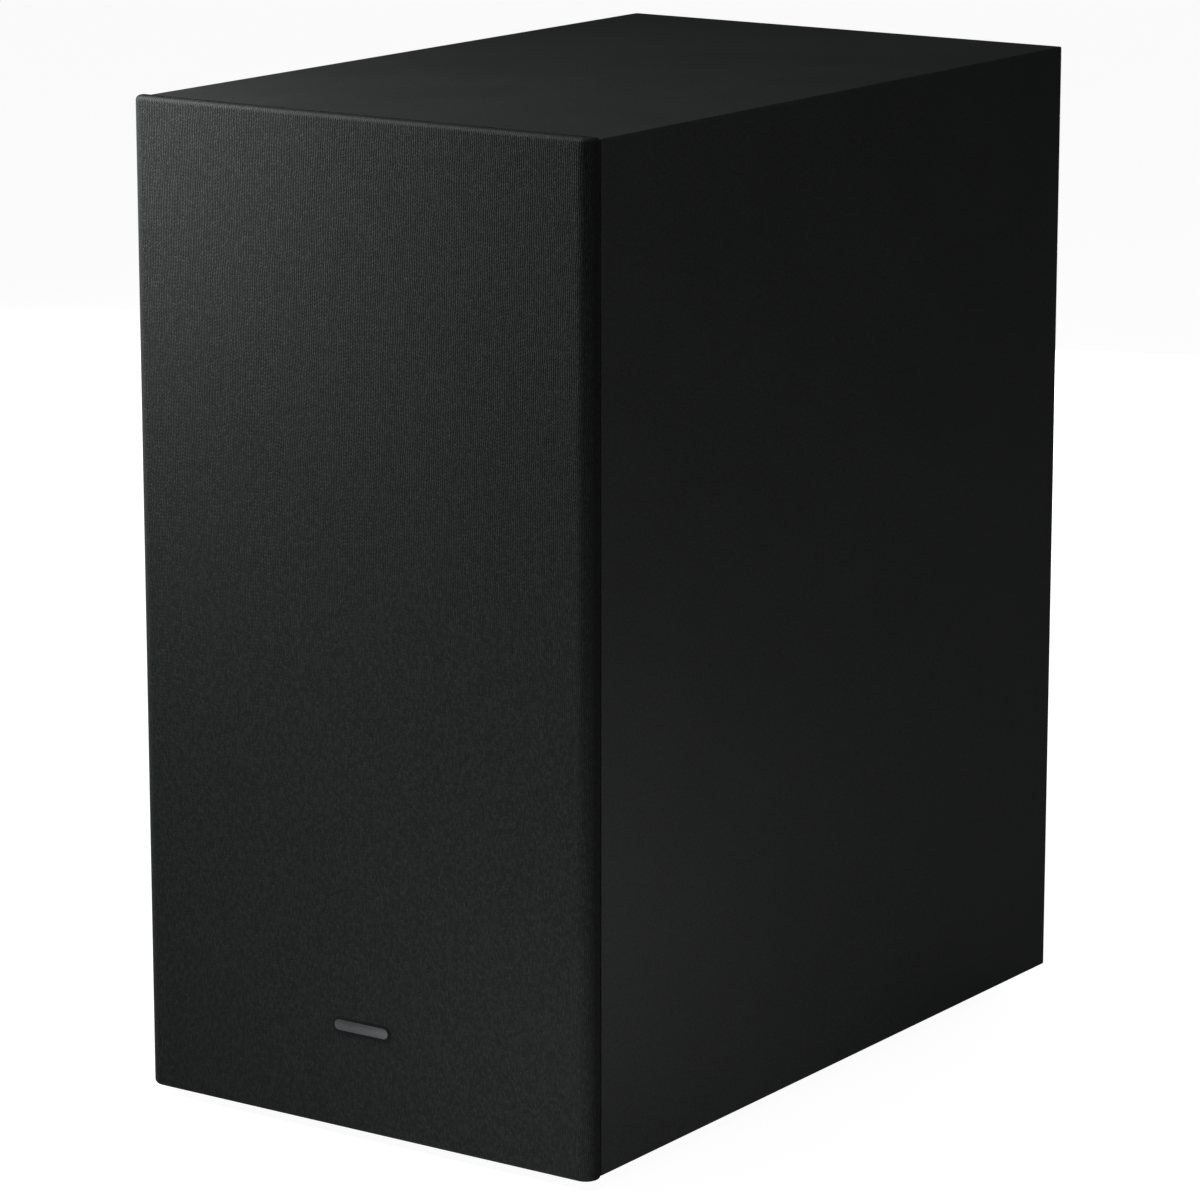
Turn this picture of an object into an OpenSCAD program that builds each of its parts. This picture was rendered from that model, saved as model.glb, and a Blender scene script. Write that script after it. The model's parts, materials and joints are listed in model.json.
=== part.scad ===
// Wireless subwoofer cabinet of a soundbar set.
// The front faces -Y, +Z is up, and the origin is on the floor under the middle of the box.

/* [Overall size] */
// Width over the cloth grille
overall_w = 184; // [184:1:190]
// Depth from the badge to the rear edge of the cabinet
overall_d = 295; // [285:1:305]
// Height from the floor to the top edge of the grille
overall_h = 343; // [335:1:355]

/* [Cabinet] */
// Thickness of the wrapped side, top and bottom boards
wall = 12; // [11:0.5:12]
// Thickness of the front baffle
baffle_t = 15; // [14:1:16]
// Thickness of the rear board
rear_t = 12; // [11:1:13]
// How far the baffle sits behind the cabinet's front rim
baffle_recess = 10; // [10:0.5:11]
// How far the rear board sits inside the cabinet's rear edge
rear_recess = 3; // [3:0.5:4]
// Height of the rubber feet
foot_h = 3.5; // [3.5:0.5:5]
// Radius of a foot where it meets the cabinet
foot_r = 9; // [8:0.5:10]
// Distance from a cabinet side to the centre of a foot
foot_inset = 26; // [22:1:30]

/* [Grille] */
// Depth of the cloth-covered grille
grille_d = 7.1; // [7:0.1:8]
// Corner radius of the grille's upright edges, seen from above
grille_edge_r = 5.2; // [4:0.1:5.5]
// How far the grille stands proud of the cabinet all round
grille_proud = 0.7; // [0.4:0.1:0.8]
// Thickness of the stretched cloth
cloth_t = 0.6; // [0.5:0.1:0.7]
// Width of the cloth folded over the back of the frame
cloth_return = 12; // [10:1:13]
// Gap between the grille and the cabinet rim
seam = 0.5; // [0.4:0.1:0.8]
// Length of the badge plate
badge_w = 23.4; // [20:0.2:28]
// Height of the badge plate
badge_h = 5; // [4:0.5:6]
// Height of the badge above the floor
badge_z = 39; // [36:1:44]

/* [Woofer] */
// Height of the woofer's axis above the floor
woofer_z = 196; // [194:1:200]
// Outer radius of the basket flange
flange_r = 77; // [76:0.5:77.5]
// Outer radius of the paper cone
cone_r = 53; // [51:0.5:53]
// Travel of the cone each way from rest
cone_travel = 5; // [3:0.5:5]
// Inner radius of the voice coil
coil_r = 15; // [14.5:0.25:15]

/* [Bass port] */
// Height of the port's axis above the floor
port_z = 262; // [260:1:268]
// Inner radius of the port tube
port_r = 27; // [24:0.5:27]
// Whole length of the port with its flares
port_len = 148; // [130:1:155]

/* [Amplifier] */
// Width of the amplifier plate
amp_w = 130; // [126:1:136]
// Height of the amplifier plate
amp_h = 150; // [148:1:154]
// Height of the plate's centre above the floor
amp_z = 98; // [96:1:102]
// Travel of the pairing button
button_travel = 0.5; // [0.3:0.1:0.5]

/* [Hidden] */

$fn = 96;
eps = 0.01;
pin_fn = 32;

// Cabinet
badge_proud = 0.6;
grille_front = -overall_d/2 + badge_proud;
grille_back = grille_front + grille_d;
rim_y = grille_back + seam;
back_y = overall_d/2;
cab_w = overall_w - 2*grille_proud;
cab_z0 = foot_h;
cab_z1 = overall_h - grille_proud;
cab_h = cab_z1 - cab_z0;
cab_d = back_y - rim_y;
in_x = cab_w/2 - wall;
in_z0 = cab_z0 + wall;
in_z1 = cab_z1 - wall;
baffle_y = rim_y + baffle_recess;
baffle_back = baffle_y + baffle_t;
rear_y = back_y - rear_recess;
rear_in = rear_y - rear_t;
block = 10;
brace_y = 26;
brace_d = 30;
brace_z = 185;
brace_h = 20;
pad_t = 8;
pad_gap = 0.3;
pad_y0 = baffle_back + block + 6;
pad_len = 118;
pad_z0 = in_z0 + 22;
pad_h = 250;

// Gap kept between pieces that slide past each other
run_gap = 0.3;

// Screws
screw_r = 1.85;
screw_fit = 0.05;
head_r = 3.2;
head_t = 1.8;

// Feet
foot_x = cab_w/2 - foot_inset;
foot_ys = [rim_y + foot_inset, back_y - foot_inset];
foot_hole_r = 3.6;
foot_web = 1.2;
foot_screw_len = 9;

// Grille pegs and their cups in the baffle
peg_x = 70;
peg_zs = [30, 106, 316];
peg_r = 2.8;
peg_fit = 0.2;
peg_len = 9.6;
boss_r = 4.5;
lug_r = 9;
cup_r = 5;
cup_flange_r = 7;
cup_flange_t = 1.2;
cup_len = 13;
cup_depth = 11.5;

// Grille frame
frame_gap = 0.1;
frame_w = overall_w - 2*cloth_t - 2*frame_gap;
frame_front = grille_front + cloth_t + frame_gap;
frame_back = grille_back - cloth_t - frame_gap;
frame_z0 = overall_h - grille_h() + cloth_t + frame_gap;
frame_h = grille_h() - 2*cloth_t - 2*frame_gap;
border = 15;
bar_z0 = 100;
bar_h = 12;
window_r = 8;
badge_pad_w = 34;
badge_pad_h = 36;

// Woofer, along its own axis with zero at the baffle's front face
flange_t = 2.5;
basket_r = 66;
basket_wall = 1.5;
basket_skirt = 18;
basket_neck_r = 44;
basket_neck_z = -48;
neck_t = 2;
plate_t = 4;
magnet_t = 16;
magnet_r = 42;
magnet_in_r = 22;
yoke_t = 6;
plate_z = basket_neck_z - neck_t - plate_t;
magnet_z = plate_z - magnet_t;
yoke_z = magnet_z - yoke_t;
gap_w = 0.6;
former_t = 0.3;
winding_t = 0.8;
winding_len = plate_t + 2*cone_travel;
cone_neck_z = -24;
cone_t = 1;
rim_lip = 3;
roll_r = 4.6;
surround_t = 0.8;
surround_gap = 0.3;
cap_r = 20;
cap_rise = 6;
cap_t = 0.8;
spider_z = -31;
spider_out_r = 50;
spider_t = 0.6;
spider_waves = 5;
ring_in_r = 66.8;
ring_out_r = 69;
ring_t = 2;
woofer_screws_n = 6;
woofer_screw_pcr = 72.6;
woofer_screw_len = 13;
window_n = 6;
window_w = 28;
window_z0 = -44;
window_z1 = -20;
ledge_w = 9;
ledge_t = 1;
lug_w = 18;
lug_t = 1.5;
tab_r = 59;
tab_x = 5;
tab_w = 4.8;
tab_t = 0.8;
tab_z = -29.5;
strip_t = 1.6;

// Port
port_t = 2.2;
flare_r = 9;
inner_flare_r = 8;
port_flange_r = 44;
port_flange_t = 3;
port_screw_pcr = 40;
port_neck = 20;
port_screw_len = 11;

// Amplifier
plate_thick = 3;
gasket_t = 0.5;
gasket_w = 7;
amp_rebate = plate_thick + gasket_t;
amp_cut_w = 112;
amp_cut_h = 132;
plate_in = rear_y - plate_thick;
standoff = 12;
board_t = 1.6;
board_y = plate_in - standoff;
board_front = board_y - board_t;
board_w = 100;
board_z0 = 56;
board_h = 104;
standoff_x = board_w/2 - 5;
standoff_zs = [board_z0 + 5, board_z0 + board_h - 5];
label_w = 64;
label_h = 30;
label_depth = 0.4;
amp_screw_x = amp_w/2 - 4.5;
amp_screw_z = amp_h/2 - 4.5;
amp_screw_len = 11;

inlet_x = -32;
inlet_z = 42;
inlet_flange_w = 30;
inlet_flange_h = 18;
inlet_body_w = 23;
inlet_body_h = 13;
inlet_flange_t = 1.8;
inlet_depth = 14.5;
inlet_body_len = 20;
inlet_lobe_r = 4.35;
inlet_lobe_x = 4.3;
inlet_waist_h = 6.4;
inlet_pin_r = 1.2;
inlet_pin_len = 15;
inlet_pin_tip = 1.5;

button_x = 14;
button_z = 152;
button_r = 4;
button_proud = 0.9;
button_flange_r = 5.6;
stem_r = 1.5;
plunger_r = 1.75;
switch_w = 6.2;
switch_h = 3.6;
switch_bore_r = 2;
stem_end_y = board_y + switch_h + button_travel + 0.6;
led_x = 32;
led_r = 1.5;

// Speaker lead from the amplifier board to the woofer's terminals
lead_r = 2;
lead_sides = 8;
lead_steps = 4;
lead_route = [[36, 116, 140], [36, 111, 140], [36, 106, 140], [44, 92, 143], [60, 78, 148], [71, 68, 150],
    [74, 56, 150], [74, 46, 150], [74, 36, 150], [68, 22, 150], [64, 4, 150], [63, -24, 148],
    [54, -54, 142], [36, -76, 135], [16, -80, 134], [4, -83, 135], [0, -89, 137], [0, -92, 137],
    [0, -96, 137]];
clip_y = 46;

function grille_h() = cab_h + 2*grille_proud;
function unit(v) = v/norm(v);

// A point on the smooth curve through p1 and p2, at t from 0 to 1
function curve_point(p0, p1, p2, p3, t) =
    0.5*(2*p1 + (p2 - p0)*t + (2*p0 - 5*p1 + 4*p2 - p3)*t*t + (3*p1 - p0 - 3*p2 + p3)*t*t*t);
function route_at(pts, i) = pts[max(0, min(len(pts) - 1, i))];
function smooth_route(pts) = [for (i = [0:len(pts) - 2], s = [0:lead_steps - 1])
        curve_point(route_at(pts, i - 1), pts[i], pts[i + 1], route_at(pts, i + 2), s/lead_steps),
    pts[len(pts) - 1]];
function heading(pts, i) = unit(route_at(pts, i + 1) - route_at(pts, i - 1));
function tube_ring(pts, i, r) = let (
        d = heading(pts, i),
        side = unit(cross(d, [0, 0, 1])),
        up = cross(side, d))
    [for (k = [0:lead_sides - 1])
        pts[i] + r*(cos(360*k/lead_sides)*side + sin(360*k/lead_sides)*up)];

// General helpers

module on_woofer_axis() {
    translate([0, baffle_y, woofer_z]) rotate([90, 0, 0]) children();
}

// Local +Z points out of the cabinet's back, with zero on the rear board's outer face
module on_rear(x, z) {
    translate([x, rear_y, z]) rotate([-90, 0, 0]) children();
}

module round_rect(w, h, r) {
    square([w - 2*r, h], center = true);
    square([w, h - 2*r], center = true);
    for (x = [-1, 1], y = [-1, 1]) translate([x*(w/2 - r), y*(h/2 - r)]) circle(r, $fn = pin_fn);
}

module ring(r_in, r_out, z0, h) {
    translate([0, 0, z0]) rotate_extrude() translate([r_in, 0]) square([r_out - r_in, h]);
}

// Pan-head screw with its seat at zero, its head on +Z and its shank on -Z
module screw(length) {
    difference() {
        cylinder(r = head_r, h = head_t, $fn = pin_fn);
        for (a = [0, 90]) rotate(a) translate([-2, -0.45, head_t - 1]) cube([4, 0.9, 2]);
    }
    translate([0, 0, -length]) cylinder(r = screw_r, h = length, $fn = pin_fn);
}

module screw_hole(length) {
    translate([0, 0, -length]) cylinder(r = screw_r + screw_fit, h = length + 1, $fn = pin_fn);
}

module at_woofer_screws() {
    for (i = [0:woofer_screws_n - 1]) rotate(360/woofer_screws_n*(i + 0.5))
        translate([woofer_screw_pcr, 0, 0]) children();
}

module at_port_screws() {
    for (a = [45:90:315]) rotate(a) translate([port_screw_pcr, 0, 0]) children();
}

module at_amp_screws() {
    for (x = [-1, 1], z = [-1, -0.34, 0.34, 1]) translate([x*amp_screw_x, -z*amp_screw_z, 0]) children();
    for (z = [-1, 1]) translate([0, z*amp_screw_z, 0]) children();
}

module at_pegs() {
    for (x = [-1, 1], z = peg_zs) translate([x*peg_x, 0, z]) children();
}

module at_feet() {
    for (x = [-1, 1], y = foot_ys) translate([x*foot_x, y, 0]) children();
}

// Cabinet boards, mitred where they meet

// Cross-section of a board that is long on its outer face and mitred at both ends
module mitred(long) {
    polygon([[-long/2, 0], [long/2, 0], [long/2 - wall, wall], [-long/2 + wall, wall]]);
}

module along_cabinet() {
    translate([0, back_y, 0]) rotate([90, 0, 0]) linear_extrude(cab_d) children();
}

module top_panel() {
    color("#26282a") along_cabinet() translate([0, cab_z1]) mirror([0, 1]) mitred(cab_w);
}

module bottom_panel() {
    color("#26282a") difference() {
        along_cabinet() translate([0, cab_z0]) mitred(cab_w);
        at_feet() translate([0, 0, cab_z0 - 1])
            cylinder(r = screw_r + screw_fit, h = foot_screw_len + 1, $fn = pin_fn);
    }
}

module left_panel() {
    color("#26282a") along_cabinet()
        translate([-cab_w/2, (cab_z0 + cab_z1)/2]) rotate(-90) mitred(cab_h);
}

module right_panel() {
    color("#26282a") along_cabinet()
        translate([cab_w/2, (cab_z0 + cab_z1)/2]) rotate(90) mitred(cab_h);
}

module front_baffle() {
    color("#1c1c1c") difference() {
        translate([-in_x, baffle_y, in_z0]) cube([2*in_x, baffle_t, in_z1 - in_z0]);
        on_woofer_axis() {
            translate([0, 0, -baffle_t - 1]) cylinder(r = basket_r + 1, h = baffle_t + 2);
            at_woofer_screws() screw_hole(woofer_screw_len);
        }
        at_pegs() translate([0, baffle_y + cup_len, 0]) rotate([90, 0, 0])
            cylinder(r = cup_r + screw_fit, h = cup_len + 1, $fn = pin_fn);
    }
}

module rear_panel() {
    color("#1f2021") difference() {
        translate([-in_x, rear_in, in_z0]) cube([2*in_x, rear_t, in_z1 - in_z0]);
        on_rear(0, port_z) {
            translate([0, 0, -rear_t - 1]) cylinder(r = port_r + flare_r + 0.6, h = rear_t + 2);
            translate([0, 0, -port_flange_t]) cylinder(r = port_flange_r + 0.4, h = port_flange_t + 1);
            at_port_screws() screw_hole(port_screw_len);
        }
        on_rear(0, amp_z) {
            translate([0, 0, -rear_t - 1]) linear_extrude(rear_t + 2) round_rect(amp_cut_w, amp_cut_h, 5);
            translate([0, 0, -amp_rebate]) linear_extrude(amp_rebate + 1)
                round_rect(amp_w + 0.6, amp_h + 0.6, 6.3);
            at_amp_screws() screw_hole(amp_screw_len);
        }
    }
}

module cross_brace() {
    color("#8a6b45") translate([-in_x, brace_y, brace_z]) cube([2*in_x, brace_d, brace_h]);
}

module glue_blocks() {
    color("#8a6b45") for (side = [0, 1]) mirror([side, 0, 0]) translate([-in_x, 0, in_z0]) {
        linear_extrude(in_z1 - in_z0)
            polygon([[0, baffle_back], [block, baffle_back], [0, baffle_back + block]]);
        linear_extrude(in_z1 - in_z0)
            polygon([[0, rear_in], [block, rear_in], [0, rear_in - block]]);
    }
}

module wadding() {
    translate([-in_x + pad_gap, pad_y0, pad_z0]) cube([pad_t, pad_len, pad_h]);
}

module left_wadding() {
    color("#d8d8d2") wadding();
}

module right_wadding() {
    color("#d8d8d2") mirror([1, 0, 0]) wadding();
}

module rubber_feet() {
    color("#202020") at_feet() difference() {
        cylinder(r1 = foot_r - 1, r2 = foot_r, h = foot_h);
        translate([0, 0, -1]) cylinder(r = foot_hole_r, h = foot_h - foot_web + 1, $fn = pin_fn);
        cylinder(r = screw_r + screw_fit, h = foot_h + 1, $fn = pin_fn);
    }
}

module foot_screws() {
    color("#2c2c2e") at_feet() translate([0, 0, foot_h - foot_web]) mirror([0, 0, 1])
        screw(foot_screw_len + foot_web - 1);
}

// Grille sockets

module grille_cups() {
    color("#181818") at_pegs() translate([0, baffle_y, 0]) rotate([90, 0, 0]) difference() {
        union() {
            cylinder(r = cup_flange_r, h = cup_flange_t, $fn = pin_fn);
            translate([0, 0, -cup_len + 0.2]) cylinder(r = cup_r, h = cup_len, $fn = pin_fn);
        }
        translate([0, 0, -cup_depth]) cylinder(r = peg_r + peg_fit, h = cup_depth + 5, $fn = pin_fn);
    }
}

// Woofer, with +Z of its own axis facing forward

// Flange on the baffle and the short skirt behind it
module woofer_rim() {
    in_r = basket_r - basket_wall;
    color("#2a2a2c") on_woofer_axis() difference() {
        rotate_extrude() {
            translate([in_r, 0]) square([flange_r - in_r, flange_t]);
            translate([in_r, -basket_skirt]) square([basket_wall, basket_skirt + eps]);
        }
        at_woofer_screws() cylinder(r = screw_r + 0.3, h = 20, center = true, $fn = pin_fn);
    }
}

// Windowed cone of arms that joins the skirt to the magnet
module woofer_cage() {
    color("#2a2a2c") on_woofer_axis() {
        difference() {
            rotate_extrude() cage_profile();
            for (i = [0:window_n - 1]) rotate(360/window_n*(i + 0.5)) translate([20, -window_w/2, window_z0])
                cube([60, window_w, window_z1 - window_z0]);
        }
        // Ledge that the spider is glued to
        ring(spider_out_r - 4, spider_out_r - 4 + ledge_w, spider_z - ledge_t - 0.4, ledge_t);
        // Lug above the lowest window, which carries the terminals
        translate([-lug_w/2, -basket_r + basket_wall, -basket_skirt - lug_t]) cube([lug_w, 14, lug_t]);
    }
}

module cage_profile() {
    neck_in_r = coil_r + 8;
    polygon([[basket_r, -basket_skirt], [basket_r - basket_wall, -basket_skirt],
        [basket_neck_r - basket_wall, basket_neck_z], [neck_in_r, basket_neck_z],
        [neck_in_r, basket_neck_z - neck_t], [basket_neck_r, basket_neck_z - neck_t],
        [basket_neck_r + 1, basket_neck_z]]);
}

module woofer_trim_ring() {
    color("#161616") on_woofer_axis() translate([0, 0, flange_t]) rotate_extrude() difference() {
        translate([ring_in_r, 0]) square([ring_out_r - ring_in_r, ring_t]);
        translate([ring_out_r - 0.6, ring_t - 0.6]) square(1);
    }
}

module surround() {
    roll_c = cone_r + surround_gap + 0.8 + roll_r + surround_t/2;
    color("#121212") on_woofer_axis() translate([0, 0, flange_t]) rotate_extrude() {
        intersection() {
            difference() {
                translate([roll_c, 0]) circle(roll_r + surround_t/2, $fn = 64);
                translate([roll_c, 0]) circle(roll_r - surround_t/2, $fn = 64);
            }
            translate([roll_c - 10, 0]) square([20, 10]);
        }
        translate([cone_r + surround_gap, 0]) square([1.2, surround_t]);
        translate([roll_c + roll_r - surround_t/2, 0])
            square([ring_in_r - 0.1 - roll_c - roll_r + surround_t/2, surround_t]);
    }
}

function spider_wave(r) = 1.1*sin(360*spider_waves*(r - coil_r - 3)/(spider_out_r - coil_r - 8));

module spider() {
    r0 = coil_r + former_t + surround_gap;
    steps = 40;
    rs = [for (i = [0:steps]) r0 + (spider_out_r - r0)*i/steps];
    flat_r = spider_out_r - 4;
    function height(r) = r < r0 + 2 || r > flat_r ? 0 : spider_wave(r);
    color("#b08a3c") on_woofer_axis() translate([0, 0, spider_z]) rotate_extrude() polygon(concat(
        [for (i = [0:steps]) [rs[i], height(rs[i]) - spider_t/2]],
        [for (i = [0:steps]) [rs[steps - i], height(rs[steps - i]) + spider_t/2]]));
}

module top_plate() {
    bore_r = coil_r + former_t + winding_t + gap_w;
    color("#9a9a9a") on_woofer_axis() ring(bore_r, magnet_r - 4, plate_z, plate_t);
}

module magnet() {
    color("#3a3a3c") on_woofer_axis() ring(magnet_in_r, magnet_r, magnet_z, magnet_t);
}

module yoke() {
    pole_r = coil_r - gap_w;
    color("#8c8c8c") on_woofer_axis() difference() {
        union() {
            translate([0, 0, yoke_z]) cylinder(r = magnet_r - 4, h = yoke_t);
            translate([0, 0, magnet_z - eps]) cylinder(r = pole_r, h = magnet_t + plate_t + eps);
        }
        translate([0, 0, yoke_z - 1]) cylinder(r = 4, h = 40, $fn = pin_fn);
    }
}

module woofer_screws() {
    color("#303032") on_woofer_axis() at_woofer_screws() translate([0, 0, flange_t])
        screw(woofer_screw_len + flange_t - 0.5);
}

module woofer_terminals() {
    strip_z = -basket_skirt - lug_t - strip_t;
    color("#caa84e") on_woofer_axis() {
        translate([-8, -tab_r - 3, strip_z]) cube([16, 6, strip_t]);
        for (x = [-1, 1]) translate([x*tab_x - tab_w/2, -tab_r - tab_t/2, tab_z])
            cube([tab_w, tab_t, strip_z + 0.5 - tab_z]);
    }
}

// The moving assembly of the woofer

module cone() {
    neck_r = coil_r + former_t + 0.15;
    rim_z = flange_t;
    color("#191919") on_woofer_axis() rotate_extrude() polygon([
        [neck_r, cone_neck_z], [neck_r + cone_t, cone_neck_z - 0.4],
        [cone_r - rim_lip + 0.4, rim_z - cone_t], [cone_r, rim_z - cone_t], [cone_r, rim_z],
        [cone_r - rim_lip, rim_z]]);
}

function cone_z(r) = cone_neck_z + (r - coil_r - former_t - 0.15)
    *(flange_t - cone_neck_z)/(cone_r - rim_lip - coil_r - former_t - 0.15);

module dust_cap() {
    seat = cone_z(cap_r) + 0.3;
    ball = (cap_r*cap_r + cap_rise*cap_rise)/(2*cap_rise);
    color("#1d1d1d") on_woofer_axis() translate([0, 0, seat]) rotate_extrude() intersection() {
        difference() {
            translate([0, cap_rise - ball]) circle(ball, $fn = 128);
            translate([0, cap_rise - ball]) circle(ball - cap_t, $fn = 128);
        }
        square([cap_r, cap_rise + 1]);
    }
}

module voice_coil_former() {
    bottom = plate_z + plate_t/2 - winding_len/2;
    color("#c9b27c") on_woofer_axis() ring(coil_r, coil_r + former_t, bottom, cone_neck_z + 1.5 - bottom);
}

module voice_coil() {
    bottom = plate_z + plate_t/2 - winding_len/2;
    color("#b5652b") on_woofer_axis()
        ring(coil_r + former_t, coil_r + former_t + winding_t, bottom, winding_len);
}

// Bass port through the rear board

module port_outer_flare() {
    color("#1a1a1a") on_rear(0, port_z) difference() {
        rotate_extrude() {
            intersection() {
                translate([port_r + flare_r, -flare_r]) circle(flare_r, $fn = 64);
                translate([port_r, -flare_r]) square([flare_r, flare_r]);
            }
            translate([port_r + flare_r, -port_flange_t])
                square([port_flange_r - port_r - flare_r, port_flange_t]);
            translate([port_r, -port_neck]) square([port_t, port_neck - flare_r + eps]);
        }
        at_port_screws() translate([0, 0, -port_flange_t - 1])
            cylinder(r = screw_r + 0.3, h = port_flange_t + 2, $fn = pin_fn);
    }
}

module port_tube() {
    color("#1e1e1e") on_rear(0, port_z)
        ring(port_r, port_r + port_t, inner_flare_r - port_len, port_len - port_neck - inner_flare_r);
}

module port_inner_flare() {
    color("#1a1a1a") on_rear(0, port_z) translate([0, 0, -port_len]) rotate_extrude() intersection() {
        translate([port_r + inner_flare_r, inner_flare_r]) circle(inner_flare_r, $fn = 64);
        translate([port_r, 0]) square(inner_flare_r);
    }
}

module port_screws() {
    color("#303032") on_rear(0, port_z) at_port_screws() screw(port_screw_len - 0.5);
}

// Amplifier plate and what it carries

module amp_plate() {
    color("#232425") difference() {
        on_rear(0, amp_z) translate([0, 0, -plate_thick]) linear_extrude(plate_thick)
            round_rect(amp_w, amp_h, 6);
        on_rear(0, amp_z) {
            at_amp_screws() translate([0, 0, -plate_thick - 1])
                cylinder(r = screw_r + 0.3, h = plate_thick + 2, $fn = pin_fn);
            translate([0, -4, -label_depth]) linear_extrude(1) round_rect(label_w, label_h, 2);
        }
        on_rear(inlet_x, inlet_z) translate([0, 0, -plate_thick - 1]) linear_extrude(plate_thick + 2)
            round_rect(inlet_body_w + 0.2, inlet_body_h + 0.2, 3);
        on_rear(button_x, button_z) translate([0, 0, -plate_thick - 1])
            cylinder(r = button_r + run_gap, h = plate_thick + 2, $fn = 48);
        on_rear(led_x, button_z) translate([0, 0, -plate_thick - 1])
            cylinder(r = led_r + screw_fit, h = plate_thick + 2, $fn = pin_fn);
    }
}

module amp_gasket() {
    color("#151515") on_rear(0, amp_z) translate([0, 0, -amp_rebate]) difference() {
        linear_extrude(gasket_t) round_rect(amp_w, amp_h, 6);
        translate([0, 0, -1]) linear_extrude(gasket_t + 2)
            round_rect(amp_w - 2*gasket_w - 2, amp_h - 2*gasket_w - 2, 4);
        at_amp_screws() cylinder(r = screw_r + 0.3, h = 5, center = true, $fn = pin_fn);
    }
}

module amp_screws() {
    color("#303032") on_rear(0, amp_z) at_amp_screws() screw(amp_screw_len - 0.5);
}

module board_standoffs() {
    color("#2a2a2a") for (x = [-1, 1], z = standoff_zs)
        translate([x*standoff_x, board_y, z]) rotate([-90, 0, 0]) cylinder(r = 3, h = standoff, $fn = pin_fn);
}

module main_board() {
    color("#1f5a34") translate([-board_w/2, board_front, board_z0]) cube([board_w, board_t, board_h]);
}

// Solids that stand on the front side of the board
module on_board(x, z) {
    translate([x, board_front, z]) rotate([90, 0, 0]) children();
}

module transformer() {
    color("#b59a3a") on_board(-26, 84) {
        translate([-15, -13, 0]) cube([30, 26, 5]);
        translate([-12, -9, 5]) cube([24, 18, 14]);
        translate([-15, -13, 19]) cube([30, 26, 4]);
    }
}

module capacitors() {
    color("#2b2f3a") {
        for (x = [2, 21]) on_board(x, 70) cylinder(r = 8, h = 28, $fn = 48);
        for (x = [0, 12, 24]) on_board(x, 96) cylinder(r = 5, h = 18, $fn = 48);
    }
}

module heat_sink() {
    fins = 7;
    color("#a8abae") on_board(-20, 122) {
        translate([-24, -3, 0]) cube([48, 3, 26]);
        for (i = [0:fins - 1]) translate([-24 + i*46.5/(fins - 1), -eps, 0]) cube([1.5, 11, 26]);
    }
}

module wireless_module() {
    color("#b9bcc0") on_board(22, 118) {
        translate([-13, -9, 0]) cube([26, 18, 1.2]);
        translate([-10, -7, 1.2]) cube([17, 14, 2.2]);
    }
}

module inlet_cavity() {
    for (x = [-1, 1]) translate([x*inlet_lobe_x, 0]) circle(inlet_lobe_r, $fn = 48);
    square([2*inlet_lobe_x, inlet_waist_h], center = true);
}

module ac_inlet() {
    color("#141414") on_rear(inlet_x, inlet_z) difference() {
        union() {
            linear_extrude(inlet_flange_t) round_rect(inlet_flange_w, inlet_flange_h, 4);
            translate([0, 0, -inlet_body_len]) linear_extrude(inlet_body_len + eps)
                round_rect(inlet_body_w, inlet_body_h, 2.9);
        }
        translate([0, 0, inlet_flange_t - inlet_depth]) linear_extrude(inlet_depth + 1) inlet_cavity();
        for (x = [-1, 1]) translate([x*inlet_lobe_x, 0, -inlet_body_len - 1])
            cylinder(r = inlet_pin_r + screw_fit, h = inlet_body_len, $fn = pin_fn);
    }
}

module ac_inlet_pins() {
    tip = inlet_flange_t - inlet_pin_tip;
    color("#c8ccd0") on_rear(inlet_x, inlet_z) for (x = [-1, 1]) translate([x*inlet_lobe_x, 0, 0]) {
        translate([0, 0, tip - inlet_pin_len])
            cylinder(r = inlet_pin_r, h = inlet_pin_len - 0.6, $fn = pin_fn);
        translate([0, 0, tip - 0.6]) cylinder(r1 = inlet_pin_r, r2 = 0.7, h = 0.6, $fn = pin_fn);
    }
}

module on_switch() {
    translate([button_x, board_y, button_z]) rotate([-90, 0, 0]) children();
}

module switch_body() {
    color("#3a3a3a") on_switch() difference() {
        translate([-switch_w/2, -switch_w/2, 0]) cube([switch_w, switch_w, switch_h]);
        translate([0, 0, 1]) cylinder(r = switch_bore_r, h = switch_h, $fn = pin_fn);
    }
}

module switch_plunger() {
    length = stem_end_y - board_y;
    color("#d0d0d0") on_switch() translate([0, 0, 2]) cylinder(r = plunger_r, h = length - 2, $fn = pin_fn);
}

module id_button() {
    cap_y = plate_in - run_gap;
    color("#2d2e30") translate([button_x, 0, button_z]) rotate([-90, 0, 0]) {
        translate([0, 0, cap_y]) difference() {
            cylinder(r = button_r, h = rear_y + button_proud - cap_y, $fn = 48);
            // Shallow dish for the fingertip
            translate([0, 0, rear_y + button_proud - cap_y + 11.6]) sphere(12, $fn = 96);
        }
        translate([0, 0, cap_y - 0.8]) cylinder(r = button_flange_r, h = 0.8, $fn = 48);
        translate([0, 0, stem_end_y]) cylinder(r = stem_r, h = cap_y - 0.8 - stem_end_y, $fn = pin_fn);
    }
}

module led_lens() {
    bottom = board_y + 2.4 - rear_y;
    color("#e8eef0") on_rear(led_x, button_z) {
        translate([0, 0, bottom]) cylinder(r = led_r, h = 0.3 - bottom, $fn = pin_fn);
        translate([0, 0, -plate_thick - 1]) cylinder(r = led_r + 1, h = 1, $fn = pin_fn);
    }
}

module led_chip() {
    color("#f2f2e6") translate([led_x - 1.5, board_y, button_z - 1]) cube([3, 1.6, 2]);
}

module board_connector() {
    depth = board_front - lead_route[0][1];
    color("#e6e2d2") translate([lead_route[0][0] - 5, lead_route[0][1], lead_route[0][2] - 4])
        cube([10, depth, 8]);
}

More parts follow.
